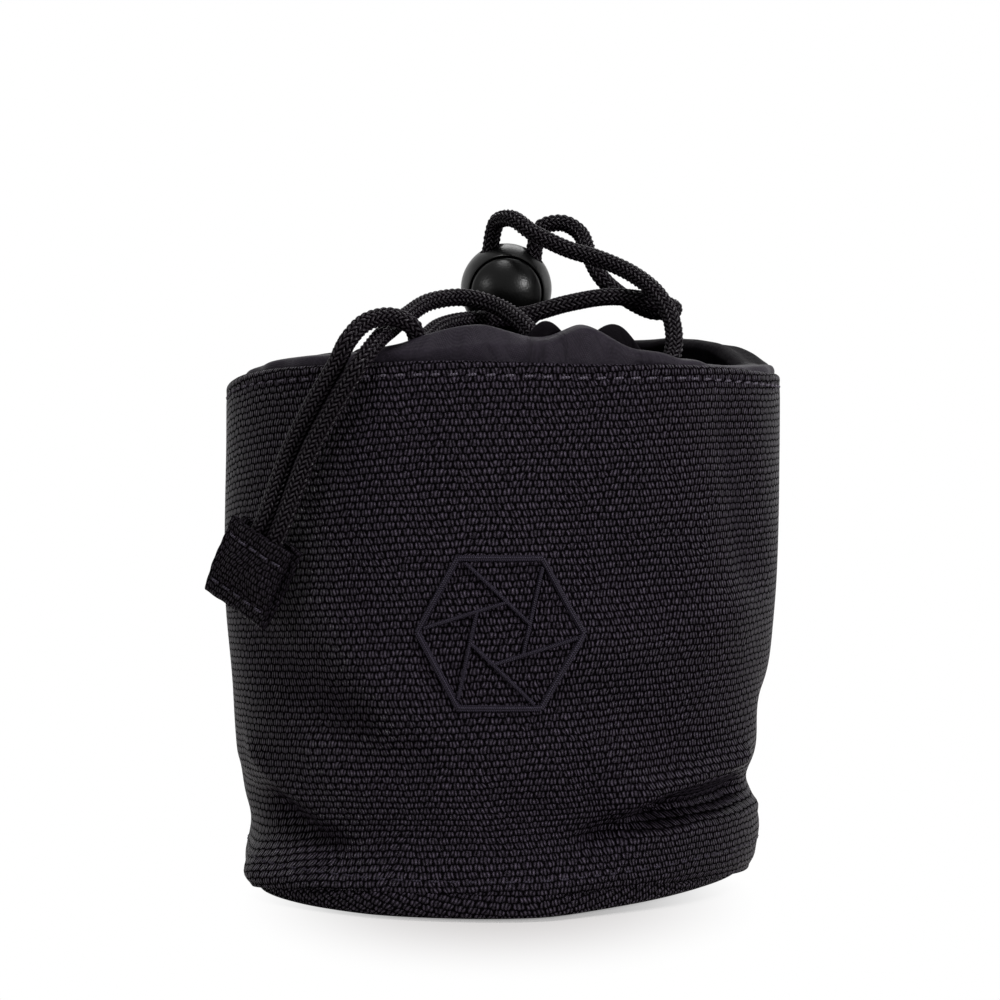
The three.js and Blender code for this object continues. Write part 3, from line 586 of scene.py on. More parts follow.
lock = {
    "centre": np.array([1.2, 5.0, shape["rim"] + 17.3]), "turn": turnAbout("x", 14) @ turnAbout("y", 9),
    "radius": 8.8, "bore": 7.0, "lip": 0.35, "pocket": 7.4, "button": 6.75, "buttonEdge": 0.4, "gap": 0.25,
    "travel": 2.6, "holeSpacing": 8.4, "holeForward": 0.8, "hole": 1.9, "cutReach": 12,
    "flare": 0.5, "flareFrom": 6.2, "flareTo": 8.4, "lipDepth": 0.7, "edgeDepth": 0.6, "springSeat": 4.2,
    "springBore": 1.85,
}
tab = {
    "centre": wallAt(-139.0, 57.4, -5.8), "turn": turnAbout("z", -30) @ turnAbout("y", 28), "width": 14.0,
    "length": 15.0, "cloth": 0.9, "cordSpacing": 3.6, "halfThickness": 2.7, "stitchInset": 3.0, "stitch": 2.1,
    "hug": 0.34, "dip": 0.05, "pinch": 0.1, "curl": 0.5, "ripple": 0.05, "sideFray": 0.05, "endFray": 0.06,
}


def placed(local, part):
    return local @ part["turn"].T + part["centre"]


# Drawcord: points chosen along its route, [x, y, height above the rim]
cord = {
    "diameter": 3.0, "step": 0.2, "columns": 72, "hiddenStep": 0.3, "hiddenColumns": 48,
    "channelInset": 19.0, "channelDrop": 8.5, "channelFrom": 116, "channelTo": 424, "joinAngle": 23.7,
    "tailLine": [(-118.2, -0.4), (-123.2, -7.0), (-129.2, -15.5)], "tailSpread": 2.5, "tailStandoff": 3.0,
    "inLock": [-16, -10, -4, 2, 7, 10.5], "intoTab": [3, -1, -8],
    "right": {
        "hole": -1, "length": 0.237,
        "lead": [
            (-11.2, 24.2, -8.5), (-8.4, 22.4, -8.4), (-7, 18.2, -8), (-6.5, 13.4, -5.6),
            (-6, 10.4, -1.6),
        ],
        "loops": [
            (-0.6, 0.4, 29.6), (2.2, -3.6, 29.8), (6, -6.8, 26.8), (12.5, -9.4, 23.3),
            (18.6, -11.8, 21.1), (24.5, -15, 17.9), (28.8, -19, 13.6), (31.1, -22, 8.3),
            (30.6, -25.2, 2), (26.6, -28.6, -1.6), (20, -31.2, -2.4), (13, -32.4, -1.6), (8, -31.2, 3),
            (4, -26.6, 8), (-0.5, -21, 11.5), (-6.5, -18.9, 13.3), (-12.5, -21.5, 12.3),
            (-16.7, -27.5, 9.1), (-19.2, -34.2, 6.2), (-21, -39.6, 3.9),
        ],
    },
    "left": {
        "hole": 1, "length": 0.218,
        "lead": [
            (11.2, 24.2, -8.5), (8.2, 22.4, -8.4), (5.6, 18.2, -8), (3.8, 13.6, -5.8), (3, 10.6, -2.2),
        ],
        "loops": [
            (8, 2, 28.8), (11.9, 1.6, 29.6), (15.2, 0.4, 27.6), (17, -2.8, 22.8), (19.4, -6, 18),
            (23.6, -6.4, 14.4), (28.6, -4.4, 12.2), (32.2, -6.6, 12), (31.6, -11.4, 12.4),
            (27, -13.4, 13.4), (20, -13, 14), (12.5, -13, 12.8), (5, -13.6, 10.7), (-2, -16, 9.7),
            (-7.3, -20, 8.9), (-11.2, -26, 7.1), (-13.6, -32, 4.4), (-14.2, -35, 4.2),
            (-15.2, -37.4, 6.5), (-18.6, -38.8, 8), (-22.8, -40.4, 7), (-25.8, -42.2, 3.8),
        ],
    },
    "swingStart": (-20, -40, 99), "swingEnd": (-24, -46, 90),
}


def channelAt(angle):
    return wallAt(angle, shape["rim"], cord["channelInset"]) - [0, 0, cord["channelDrop"]]


def strandPoints(strand):
    hole = strand["hole"]
    rim = np.array([0, 0, shape["rim"]])
    across = hole * lock["holeSpacing"] / 2
    straight = [(across, -lock["holeForward"], along) for along in cord["inLock"]]
    overRim = [
        wallAt(angle - hole * cord["tailSpread"], shape["rim"] + height, -cord["tailStandoff"])
        for angle, height in cord["tailLine"]
    ]
    inTab = [(-hole * tab["cordSpacing"] / 2, 0, tab["length"] / 2 + up) for up in cord["intoTab"]]
    return np.concatenate([
        channelAt(np.array([90 - hole * cord["joinAngle"]])),
        np.array(strand["lead"]) + rim,
        placed(np.array(straight), lock),
        np.array(strand["loops"]) + rim,
        overRim,
        placed(np.array(inTab), tab),
    ])


def braidedTube(name, path, columns):
    # two sets of helical plaits, each rounded across by the root of a sine: a plait goes over two of the
    # other set and under two along a sine wave, one plait further on than its neighbour
    far = np.arange(len(path))[:, None] * np.linalg.norm(path[1] - path[0])
    around = np.linspace(0, 1, columns, endpoint=False)[None]
    rightHand = braid["carriers"] * around + far / braid["pitch"]
    leftHand = braid["carriers"] * around - far / braid["pitch"]
    overRight = 0.5 + 0.5 * np.sin(np.pi / 2 * (leftHand + np.floor(rightHand)))
    overLeft = 0.5 - 0.5 * np.sin(np.pi / 2 * (rightHand + np.floor(leftHand)))
    right = np.abs(np.sin(np.pi * rightHand)) ** 0.5 * (braid["under"] + (1 - braid["under"]) * overRight)
    left = np.abs(np.sin(np.pi * leftHand)) ** 0.5 * (braid["under"] + (1 - braid["under"]) * overLeft)
    high = np.maximum(right, left)
    radius = cord["diameter"] / 2 - braid["relief"] * (braid["level"] - high)
    withPoles = [(1, 1), (0, 0)]
    return addGrid(name, carry(path, radius, columns), cordNylon, values={
        "plaitHeight": np.pad(high, withPoles, mode="edge"),
        "plaitLay": np.pad((right > left) * 1.0, withPoles, mode="edge"),
    })


for sideName in ("right", "left"):
    path = smoothPath(strandPoints(cord[sideName]), cord["step"])
    piece = braidedTube(f"cord_strand_{sideName}", path, cord["columns"])
    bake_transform(piece)
    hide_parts(f"drawcord_{sideName}", f"tail_{sideName}")
hiddenAngles = np.linspace(cord["channelFrom"], cord["channelTo"], 40)
hiddenPath = smoothPath(channelAt(hiddenAngles), cord["hiddenStep"])
hiddenCord = braidedTube("cord_in_channel", hiddenPath, cord["hiddenColumns"])
seat(hiddenCord, "pouch", "cord_braid", "drawcord_in_casing")

# Outer cloth: up the outside, over the folded edge, down the hem, then down the inside to the base seam
wall = {
    "columns": 400, "rows": 150, "cloth": 1.0, "hem": 9.0, "seamGroove": 0.8, "seamWelt": 0.35,
    "seamRoll": 1.0, "endRoll": 2.5, "seamTuck": 0.4, "endTuck": 0.8,
    "stitchDrop": 2.4, "stitchPitch": 3.0, "stitchDent": 0.3,
    "rimWave": 0.35, "rimDip": 2.0, "dipAngle": 182, "dipSpread": 28,
    # the two ends where the wall sags over the base: angle, and spread to either side
    "sag": 4.1, "sagTop": 18, "sagEnds": [(-7, 52, 26), (-160, 22, 28)],
}
wallAngles = np.linspace(90, 450, wall["columns"], endpoint=False)  # the cloth's edges meet at the back


def stitchCount(pitch):
    around = wallAt(wallAngles, shape["rim"], 0.0)
    return int(round(np.linalg.norm(np.roll(around, -1, axis=0) - around, axis=1).sum() / pitch))


def rimWave(angle):  # the rim isn't quite level, and dips at its left end
    wave = wall["rimWave"] * np.sin(np.radians(2 * angle + 70)) * np.cos(np.radians(5 * angle))
    return wave - wall["rimDip"] * bell(apart(angle, wall["dipAngle"]), wall["dipSpread"])


def endSag(angle):  # share of the sag: 1 at each end, fading over the front and the back
    total = 0.0
    for middle, before, after in wall["sagEnds"]:
        far = apart(angle, middle)
        total = total + bell(far, np.where(far < 0, before, after))
    return total


def wallCloth():
    # a profile of insets and heights round the oval, moved in at the seams and the stitch row, and sunk by
    # the rim's wave and the sag at the two ends
    rim, bottom = shape["rim"], shape["wallBottom"]
    fold = wall["cloth"]  # radius of the folded edge
    rise = np.linspace(0, 1, wall["rows"])
    outside = np.stack([np.zeros_like(rise), bottom + (rim - fold - bottom) * rise], -1)
    turn = np.linspace(0, np.pi, 9)[1:-1]
    over = np.stack([fold - fold * np.cos(turn), rim - fold + fold * np.sin(turn)], -1)
    hem = [(2 * fold, rim - fold), (2 * fold, rim - 4), (2 * fold, rim - wall["hem"] + 0.6)]
    hem += [(1.8 * fold, rim - wall["hem"]), (fold, rim - wall["hem"] - 0.3)]
    inside = [(fold, height) for height in np.linspace(rim - wall["hem"] - 2, bottom, 44)]
    profile = np.concatenate([outside, over, hem, inside])
    inset, height = profile[:, :1], profile[:, 1:]
    ends = endSag(wallAngles)
    roll = 1 - ease(bottom, bottom + wall["seamRoll"] + wall["endRoll"] * ends, height)
    dent = wall["stitchDent"] * bell(height - rim + wall["stitchDrop"], 0.9)
    beat = 0.6 - 0.4 * np.cos(np.radians(wallAngles) * stitchCount(wall["stitchPitch"]))
    fromSeam = np.abs(apart(wallAngles, 90))  # the back seam is a groove between two low welts
    groove = wall["seamGroove"] * bell(fromSeam, 0.9) - wall["seamWelt"] * bell(fromSeam - 3, 1.6)
    outer = inset < fold
    tuck = (wall["seamTuck"] + wall["endTuck"] * ends) * roll**2
    moved = inset + tuck + outer * (dent * beat + groove * ease(bottom, 12, height))
    sagging = wall["sag"] * ends * (1 - ease(bottom, bottom + wall["sagTop"], height))
    sunk = rimWave(wallAngles) * ease(40, rim, height) - sagging
    return wallAt(wallAngles, height + sunk, moved)


wallPiece = addGrid("wall_cloth", wallCloth(), wallNylon, wrapRows=True, cell=ballistic["cell"])
seat(wallPiece, "pouch", "ballistic_cloth", "outer_wall")

# Base panel: flat under the pouch, its edge turned up to the seam
base = {"columns": 300, "flat": 43.6, "corner": 3.2, "square": 0.7, "tuck": 0.3, "cloth": 1.0, "endTuck": 2.0}


def basePanel():
    # a flat disc with a squared-off quarter turn at its edge, stretched to the wall's own outline
    turn = np.linspace(0, np.pi / 2, 16)
    reach = shape["baseRadius"] - base["corner"]
    under = np.stack([reach + base["corner"] * np.sin(turn) ** base["square"],
                      shape["seam"] * (1 - np.cos(turn) ** base["square"])], -1)
    under[-4:, 0] -= base["tuck"] * np.linspace(0, 1, 4) ** 2
    flatRun = np.linspace(0, reach, 24, endpoint=False)
    bottom = np.concatenate([np.stack([flatRun, 0 * flatRun], -1), under])
    slope = unit(np.gradient(bottom, axis=0))
    top = (bottom + np.stack([-slope[:, 1], slope[:, 0]], -1) * base["cloth"])[::-1]
    top[:, 0] = np.clip(top[:, 0], 0, None)
    profile = np.concatenate([bottom, top])
    angle = np.linspace(0, 360, base["columns"], endpoint=False)
    turnRound = np.radians(angle)
    radius = profile[:, :1]
    lift = cornerLift(angle) * ease(base["flat"] - 6, shape["baseRadius"], radius)
    outline = wallAt(angle, shape["seam"], base["endTuck"] * endSag(angle))[None, :, :2]
    edge = outline * (radius / shape["baseRadius"])[..., None]
    grid = np.concatenate([edge, (profile[:, 1:] + lift)[..., None]], -1)
    far = np.concatenate([[0], np.cumsum(np.linalg.norm(np.diff(profile, axis=0), axis=1))])
    far = np.where(np.arange(len(far)) < len(bottom), far, far[-1] - far)[:, None]
    return grid, np.stack([far * np.cos(turnRound), far * np.sin(turnRound)], -1)


baseGrid, baseMap = basePanel()
basePiece = addGrid("base_cloth", baseGrid, wallNylon, clothMap=baseMap)
seat(basePiece, "pouch", "ballistic_cloth", "outer_base")
print("outer cloth made")

# Padding and lining: layers that follow the wall, and discs on the base
layers = {"columns": 220, "foam": (1.3, 3.3), "lining": (3.6, 4.1)}  # from and to, in from the outer face
layerAngles = np.linspace(90, 450, layers["columns"], endpoint=False)


def wallLayer(outer, inner, bottom, top, rows, ripple=0.0):
    # a closed loop up the outer face and down the inner one; the inner face may ripple
    up = np.linspace(bottom, top, rows)[:, None]
    wavy = ripple * np.sin(np.radians(layerAngles * 9) + 3 * np.sin(up / 14)) * np.sin(up / 9)
    outside = wallAt(layerAngles, up, outer + 0 * wavy)
    inside = wallAt(layerAngles, up, inner + wavy + ripple)
    return np.concatenate([outside, inside[::-1]])


def disc(radius, bottom, top, columns=160, ripple=0.0):
    # out along the underside, round the edge and back along the top
    out = np.concatenate([np.linspace(0, radius - 0.4, 24), [radius]])
    radii = np.concatenate([out, out[::-1]])[:, None]
    height = np.concatenate([np.full(24, bottom), [bottom + 0.2, top - 0.2], np.full(24, top)])[:, None]
    turn = np.linspace(0, 2 * np.pi, columns, endpoint=False)
    x, y = radii * np.cos(turn), radii * np.sin(turn)
    wave = ripple * np.sin(x / 5) * np.cos(y / 6) * (height > (bottom + top) / 2)
    return np.stack([x, y, height + wave], -1)


foamHigh, liningHigh = boxOf("foam_wall")[1][2], boxOf("lining_wall")[1][2]
foamGrid = wallLayer(*layers["foam"], shape["wallBottom"], foamHigh, 60)
foamWall = addGrid("wall_padding", foamGrid, padFoam, wrapRows=True)
foamBase = addGrid("base_padding", disc(base["flat"], *layers["foam"]), padFoam)
seat(foamWall, "pouch", "padding_foam", "foam_wall")
seat(foamBase, "pouch", "padding_foam", "foam_base")
liningGrid = wallLayer(*layers["lining"], shape["wallBottom"], liningHigh, 70, ripple=0.12)
liningPiece = addGrid("wall_lining", liningGrid, collarNylon, wrapRows=True)
liningDisc = addGrid("base_lining", disc(base["flat"], *layers["lining"], ripple=0.1), collarNylon)
seat(liningPiece, "pouch", "smooth_nylon", "lining_wall")
seat(liningDisc, "pouch", "smooth_nylon", "lining_base")


# Binding tapes: a rounded section over the base seam, and a strip up the back seam
binding = {
    "inset": 4.4, "half": 1.5, "square": 0.7,
    "backSpread": 5, "thickness": 0.75, "crown": 0.25, "crownWidth": 1.6,
}


def baseTape():
    # the waves of the round section are raised to a power below 1, which squares it off
    low, high = boxOf("base_seam_binding")
    middle, half = (low[2] + high[2]) / 2, (high[2] - low[2]) / 2
    turn = np.linspace(0, 2 * np.pi, 16, endpoint=False)[:, None]
    wide, tall = (np.sign(wave) * np.abs(wave) ** binding["square"] for wave in (np.cos(turn), np.sin(turn)))
    return wallAt(layerAngles, middle + half * tall, binding["inset"] + binding["half"] * (1 - wide))


def backTape():
    low, high = boxOf("back_seam_binding")
    up = np.linspace(low[2], high[2], 60)[:, None]
    across = np.linspace(-binding["backSpread"], binding["backSpread"], 17)
    thick = binding["thickness"] + binding["crown"] * bell(across, binding["crownWidth"])
    outside = wallAt(90 + across, up, binding["inset"] + 0 * up)
    inside = wallAt(90 + across[::-1], up, binding["inset"] + thick[::-1] + 0 * up)
    return np.concatenate([outside, inside], axis=1)


def closeRows(grid):  # a pole at each end of a tube
    ends = [np.repeat(row.mean(0)[None, None], grid.shape[1], axis=1) for row in (grid[0], grid[-1])]
    return np.concatenate([ends[0], grid, ends[1]])


baseBinding = addGrid("base_binding_tape", baseTape(), bindingTape, wrapRows=True)
seat(baseBinding, "pouch", "binding_tape", "base_seam_binding")
backBinding = addGrid("back_binding_tape", closeRows(backTape()), bindingTape)
seat(backBinding, "pouch", "binding_tape", "back_seam_binding")
print("padding, lining and bindings made")


# Stitches: each a short bent thread whose ends dive into the cloth
def stitches(middle, along, out, length, diameter, rise=0.25, dive=0.5):
    # along and out are unit directions for each stitch; the thread bows up between its two holes, and falls
    # by the fourth power of the way from its middle
    share = np.array([-1, -1, -0.72, -0.3, 0.3, 0.72, 1, 1.0])
    radius = diameter / 2 * np.array([0, 0.8, 1, 1, 1, 1, 0.8, 0])
    turn = np.linspace(0, 2 * np.pi, 6, endpoint=False)
    bow = rise - (rise + dive) * np.abs(share) ** 4
    side = np.cross(along, out)
    spine = middle[:, None] + along[:, None] * (share * length / 2)[:, None] + out[:, None] * bow[:, None]
    ring = out[:, None] * np.cos(turn)[:, None] + side[:, None] * np.sin(turn)[:, None]
    return spine[:, :, None] + ring[:, None] * radius[:, None, None]


def ringStitches(height, inset, pitch, length, diameter, count=None, slant=0.0, followRim=0):
    number = count or stitchCount(pitch)
    angle = np.arange(number) * 360 / number
    height = height + followRim * rimWave(angle)
    step = 0.2
    ahead, behind = wallAt(angle + step, height, inset), wallAt(angle - step, height, inset)
    along = unit(unit(ahead - behind) + [0, 0, slant])
    return stitches(wallAt(angle, height, inset), along, outwardAt(angle), length, diameter)


sewing = {
    "pitch": wall["stitchPitch"], "length": 2.4, "slant": 0.12, "rimThread": 0.48, "rimSunk": 0.4,
    "seamThread": 0.45, "seamSunk": 0.3, "seamRise": 1.6,
}
rimRow = ringStitches(shape["rim"] - wall["stitchDrop"], sewing["rimSunk"], sewing["pitch"],
                      sewing["length"], sewing["rimThread"], slant=sewing["slant"], followRim=1)
seat(addGrid("rim_stitches", rimRow, rimThread), "pouch", "sewing_thread", "rim_stitching")
seamRow = ringStitches(shape["wallBottom"] + sewing["seamRise"], sewing["seamSunk"], sewing["pitch"],
                       sewing["length"], sewing["seamThread"])
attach(addGrid("base_seam_stitches", seamRow, emblemThread), "pouch")

# Emblem: a six-sided ring and six blades of satin stitch, threads laid side by side across each stroke
emblem = {
    "height": 47.5, "apothem": 12.6, "band": 1.4, "blade": 0.9, "iris": 5.4, "irisTurn": 0.3,
    "pitch": 0.36, "thread": 0.4, "slant": 0.35, "raised": 0.15,
}


def satin(start, end, band):
    # evenly spaced places along a stroke in the emblem's own plane, with the direction across it
    line = end - start
    count = int(np.linalg.norm(line) / emblem["pitch"])
    at = start + line * ((np.arange(count) + 0.5) / count)[:, None]
    across = unit(np.array([-line[1], line[0]]) + emblem["slant"] * line)
    return at, np.repeat(across[None], count, 0), np.full(count, band)


def emblemThreads():
    # the sides of the outer hexagon, and blades from the corners of a turned inner hexagon out to it, laid on
    # the wall by angle and height
    corner = np.radians(60 * np.arange(6))
    outer = emblem["apothem"] / np.cos(np.pi / 6) * np.stack([np.cos(corner), np.sin(corner)], -1)
    turned = corner + emblem["irisTurn"]
    inner = emblem["iris"] * np.stack([np.cos(turned), np.sin(turned)], -1)
    along = unit(np.roll(inner, -1, axis=0) - inner)  # each blade runs on along a side of the inner hexagon
    face = np.stack([np.cos(corner + np.pi / 6), np.sin(corner + np.pi / 6)], -1)
    room = emblem["apothem"] - emblem["band"] / 2 - inner @ face.T
    reach = np.where(along @ face.T > 1e-6, room / np.maximum(along @ face.T, 1e-6), np.inf).min(1)
    strokes = [satin(outer[i], outer[(i + 1) % 6], emblem["band"]) for i in range(6)]
    strokes += [satin(inner[i], inner[i] + along[i] * reach[i], emblem["blade"]) for i in range(6)]
    at, across, band = (np.concatenate(part) for part in zip(*strokes))

    def onWall(flat, inset):
        return wallAt(-90 + np.degrees(flat[:, 0] / shape["halfWidth"]), emblem["height"] + flat[:, 1], inset)

    along = unit(onWall(at + across * 0.1, 0.0) - onWall(at - across * 0.1, 0.0))
    out = outwardAt(-90 + np.degrees(at[:, 0] / shape["halfWidth"]))
    middle = onWall(at, -emblem["raised"])
    lengthScale = (band / emblem["band"])[:, None, None, None]
    whole = stitches(middle, along, out, emblem["band"], emblem["thread"], rise=0.4, dive=0.7)
    reachOut = whole - middle[:, None, None]
    alongOnly = np.sum(reachOut * along[:, None, None], -1, keepdims=True) * along[:, None, None]
    return middle[:, None, None] + reachOut + alongOnly * (lengthScale - 1)


seat(addGrid("emblem_threads", emblemThreads(), emblemThread), "pouch", "sewing_thread", "emblem_embroidery")
print("stitching and emblem made")

# Collar: sewn inside the hem, up to its fold, down the inner layer and in to the cord channel
collar = {
    "columns": 540, "rows": 90, "thickness": 0.35, "middle": 2.6, "pleats": 26, "gather": 1.3, "end": 16.1,
    # angle, height of the fold above the rim
    "crest": [
        (-180, 0.6), (-140, 2.2), (-122, 2.3), (-111, 3.4), (-103, 5.3), (-99, 6.0), (-93.5, 6.5),
        (-88, 5.4), (-84, 4.6), (-80, 4.8), (-76.5, 6.2), (-73, 7.5), (-69, 6.0), (-65, 4.0), (-62, 3.0),
        (-54, 2.4), (-50.5, 1.4), (-44.5, 1.4), (-42, 0.8), (-33, 0.8), (-24, 1.3), (-12, 2.1), (0, 2.3),
        (6, 3.6), (12, 5.4), (20, 7.5), (30, 8.8), (40, 9.4), (90, 8.8), (140, 6.5), (157, 4.6),
        (168, 2.6), (180, 0.6),
    ],
    # folds that stand behind the front edge: angle, spread to the left and to the right, height above the rim
    "lobes": [(-64.5, 12, 9.8, 7.0), (-80, 8, 9, 7.4), (-96, 9, 9, 6.0), (-122, 8, 8, 3.0)],
    # the inner fold's height between them; where the painted shade of the inner face begins, in the curve's
    # control points
    "sunk": -4.0, "innerFrom": 4.1, "crestBlur": 5,
    # the edge is tilted back most left of the middle, and the right end leans out over the rim
    "edgeDrop": 0.7, "edgeTilt": 2.3, "tiltAngle": -98, "tiltSpread": 12,
    "lean": 1.0, "leanAngle": -2, "leanSpread": 26, "rollFrom": 62, "rollTo": 100,
}


def curveThrough(controls, rows):
    # a smooth curve through each column of control points, rows of it
    count = len(controls)
    ends = np.concatenate([2 * controls[:1] - controls[1:2], controls, 2 * controls[-1:] - controls[-2:-1]])
    at = np.linspace(0, count - 1, rows)
    first = np.minimum(at.astype(int), count - 2)
    t = (at - first)[:, None, None]
    p0, p1, p2, p3 = (ends[first + step] for step in range(4))
    return 0.5 * (2 * p1 + (p2 - p0) * t + (2 * p0 - 5 * p1 + 4 * p2 - p3) * t**2
                  + (3 * p1 - p0 - 3 * p2 + p3) * t**3)


collarAngles = np.linspace(90, 450, collar["columns"], endpoint=False)


def backRoll(angle):  # the back stands as a full roll
    return ease(collar["rollFrom"], collar["rollTo"], np.abs(apart(angle, -90)))


def collarSheet():
    angle = collarAngles
    turn = np.radians(angle)
    knots, crests = np.array(collar["crest"]).T
    crest = np.interp(apart(angle, 0), knots, crests)
    blur = collar["crestBlur"]  # columns to each side
    near = np.hanning(2 * blur + 1)
    goneRound = np.concatenate([crest[-blur:], crest, crest[:blur]])
    crest = shape["rim"] + np.convolve(goneRound, near / near.sum(), mode="valid")
    phase = collar["pleats"] * turn + 1.4 * np.sin(3 * turn + 0.5) + 0.9 * np.sin(7 * turn)
    pleat = np.cos(phase) * (0.65 + 0.35 * np.sin(2 * turn + 1.1))
    tilted = bell(apart(angle, collar["tiltAngle"]), collar["tiltSpread"])
    drop = collar["edgeDrop"] + collar["edgeTilt"] * tilted
    sunk = collar["sunk"]
    second = np.full_like(crest, sunk)
    for lobeAngle, leftSpread, rightSpread, height in collar["lobes"]:
        far = apart(angle, lobeAngle)
        lobe = bell(far, np.where(far < 0, leftSpread, rightSpread))
        second = np.maximum(second, sunk + (height - sunk) * lobe)
    raised = ease(sunk, 2, second)
    roll = backRoll(angle)
    pleat = pleat * (1 - 0.75 * roll)
    out = collar["lean"] * bell(apart(angle, collar["leanAngle"]), collar["leanSpread"])
    second = second + shape["rim"]
    rim, middle = shape["rim"], collar["middle"]
    valley = np.minimum(crest - 3.2, second - 1.2 - 1.5 * raised)
    # [inset, height], from the seam inside the hem up and over the outer fold, down into the valley behind
    # it, over the inner fold and in to the channel
    controls = np.stack([
        np.stack([0 * crest + middle, 0 * crest + rim - 9], -1),
        np.stack([0 * crest + middle, 0 * crest + rim - 1.4], -1),
        np.stack([middle - 0.3 - out + 0.2 * pleat, crest - drop - 1.3], -1),
        np.stack([middle + 0.3 - out + 0.35 * pleat, crest - drop], -1),
        np.stack([middle + 2.0 - out + 0.3 * pleat, crest - 0.25 - 0.9 * roll], -1),
        np.stack([middle + 2.9 - out + 2.0 * roll + 0.3 * pleat, crest - 0.4 + 0.3 * roll], -1),
        np.stack([middle + 3.4 - out * roll + 3.0 * roll + 0.2 * pleat, crest - 2.2 + 0.7 * roll], -1),
        np.stack([middle + 3.6 + 1.6 * raised + 1.2 * roll, valley * (1 - roll) + (crest - 4.6) * roll], -1),
        np.stack([middle + 4.2 + 0.5 * raised + 0.2 * pleat, second], -1),
        np.stack([middle + 5.2 + 1.4 * raised, second - 1.6 - 0.6 * raised], -1),
        np.stack([middle + 6.6 + 0.8 * raised, 0 * crest + rim - 5.6 - 0.6 * raised], -1),
        np.stack([0 * crest + collar["end"], 0 * crest + rim - cord["channelDrop"]], -1),
    ])
    line = curveThrough(controls, collar["rows"])
    inset, height = line[..., 0], line[..., 1]
    floor = ease(middle + 4, collar["end"], inset)
    settled = 1 - 0.5 * ease(collar["end"] - 1.6, collar["end"], inset)  # the gathers flatten at the channel
    height = height + collar["gather"] * floor * np.cos(phase + 0.5 * np.sin(inset)) * settled
    return wallAt(angle, height + rimWave(angle) * (1 - ease(6, 12, inset)), inset)


def alongColumns(grid):
    # the map of a sheet whose columns differ in length: mean way round, and each column's own way along
    around = lengths(grid, 1, True)[0]
    step = np.linalg.norm(np.diff(grid, axis=0), axis=-1)
    along = np.concatenate([np.zeros((1, grid.shape[1])), np.cumsum(step, axis=0)])
    return np.stack(np.broadcast_arrays(around[None], along), -1)


collarGrid = thicken(collarSheet(), collar["thickness"])
# painted shade: a mask that is 1 on the inner face past the fold, which the collar's material darkens
foldAt = np.linspace(0, 11, collar["rows"])[:, None]  # counted in the curve's control points
foldStart = collar["innerFrom"] - 2.0 * backRoll(collarAngles)
pastFold = ease(foldStart, foldStart + 1.2, foldAt)
shadedInnerFace = np.concatenate([pastFold, pastFold[::-1]])
collarPiece = addGrid("gathered_collar", collarGrid, collarNylon, wrapRows=True,
                      clothMap=alongColumns(collarGrid), values={"shadedInnerFace": shadedInnerFace})
seat(collarPiece, "pouch", "smooth_nylon", "collar")


# Cord channel: the collar's inner edge rolled round the cord, wrinkled by the gathers
channel = {
    "from": 115, "to": 425, "step": 0.5, "columns": 28, "outside": 2.5, "inside": 1.95,
    "crimp": 0.18, "crimps": 34, "stitches": 66, "stitchInset": 14.6, "stitchDrop": 7.3, "stitchLength": 2.2,
}


def channelTube():
    # two tubes along one path, the outer one wrinkled by a cosine along it, joined at their ends
    path = smoothPath(channelAt(np.linspace(channel["from"], channel["to"], 40)), channel["step"])
    columns = channel["columns"]
    far = np.linspace(0, 1, len(path))[:, None] * 2 * np.pi
    around = np.linspace(0, 2 * np.pi, columns, endpoint=False)[None]
    crimp = np.cos(channel["crimps"] * far + 1.2 * np.sin(5 * far)) * (0.6 + 0.4 * np.cos(around + 7 * far))
    outside = carry(path, channel["outside"] + channel["crimp"] * crimp, columns)[1:-1]
    inside = carry(path, channel["inside"] + 0 * crimp, columns)[1:-1]
    return np.concatenate([outside, inside[::-1]])


channelPiece = addGrid("cord_channel", channelTube(), collarNylon, wrapRows=True)
seat(channelPiece, "pouch", "smooth_nylon", "cord_casing")
channelRow = ringStitches(shape["rim"], channel["stitchInset"], sewing["pitch"], channel["stitchLength"],
                          sewing["seamThread"], count=channel["stitches"]) - [0, 0, channel["stitchDrop"]]
seat(addGrid("channel_stitches", channelRow, seamThread), "pouch", "sewing_thread", "casing_stitching")
print("collar and channel made")


# Ball lock: turned about its own Y axis, the button looking along -Y
def turnedAboutY(profile, columns=96):
    turn = np.linspace(0, 2 * np.pi, columns, endpoint=False)
    radius, y = profile[:, :1], profile[:, 1:]
    return np.stack(np.broadcast_arrays(radius * np.cos(turn), y, radius * np.sin(turn)), -1)


def arc(radius, middle, fromTurn, toTurn, count):  # of a circle about the axis, turns from +Y
    turn = np.radians(np.linspace(fromTurn, toTurn, count))
    return np.stack([radius * np.sin(turn), middle + radius * np.cos(turn)], -1)


def bend(start, corner, end, count=7):  # a small rounded corner
    t = np.linspace(0, 1, count)[1:-1, None]
    return np.array(start) * (1 - t) ** 2 + np.array(corner) * 2 * t * (1 - t) + np.array(end) * t**2


def cutBy(piece, cutters):
    for cutter in cutters:
        cut = piece.modifiers.new("cut", "BOOLEAN")
        cut.object, cut.operation, cut.solver = cutter, "DIFFERENCE", "EXACT"
    bpy.context.view_layer.update()
    done = bpy.data.meshes.new_from_object(piece.evaluated_get(bpy.context.evaluated_depsgraph_get()))
    piece.modifiers.clear()
    piece.data = done
    for cutter in cutters:
        bpy.data.objects.remove(cutter)
    done.shade_smooth()
    done.set_sharp_from_angle(angle=np.radians(32))
    return piece


def holeCutter(side):
    # a round hole along Z that flares where it leaves the ball
    up = np.linspace(-lock["cutReach"], lock["cutReach"], 60)
    path = np.stack([0 * up + side * lock["holeSpacing"] / 2, 0 * up - lock["holeForward"], up], -1)
    radius = lock["hole"] + lock["flare"] * ease(lock["flareFrom"], lock["flareTo"], np.abs(up))
    return addGrid("hole_cutter", placed(carry(path, radius[:, None], 32), lock), lockAcetal)


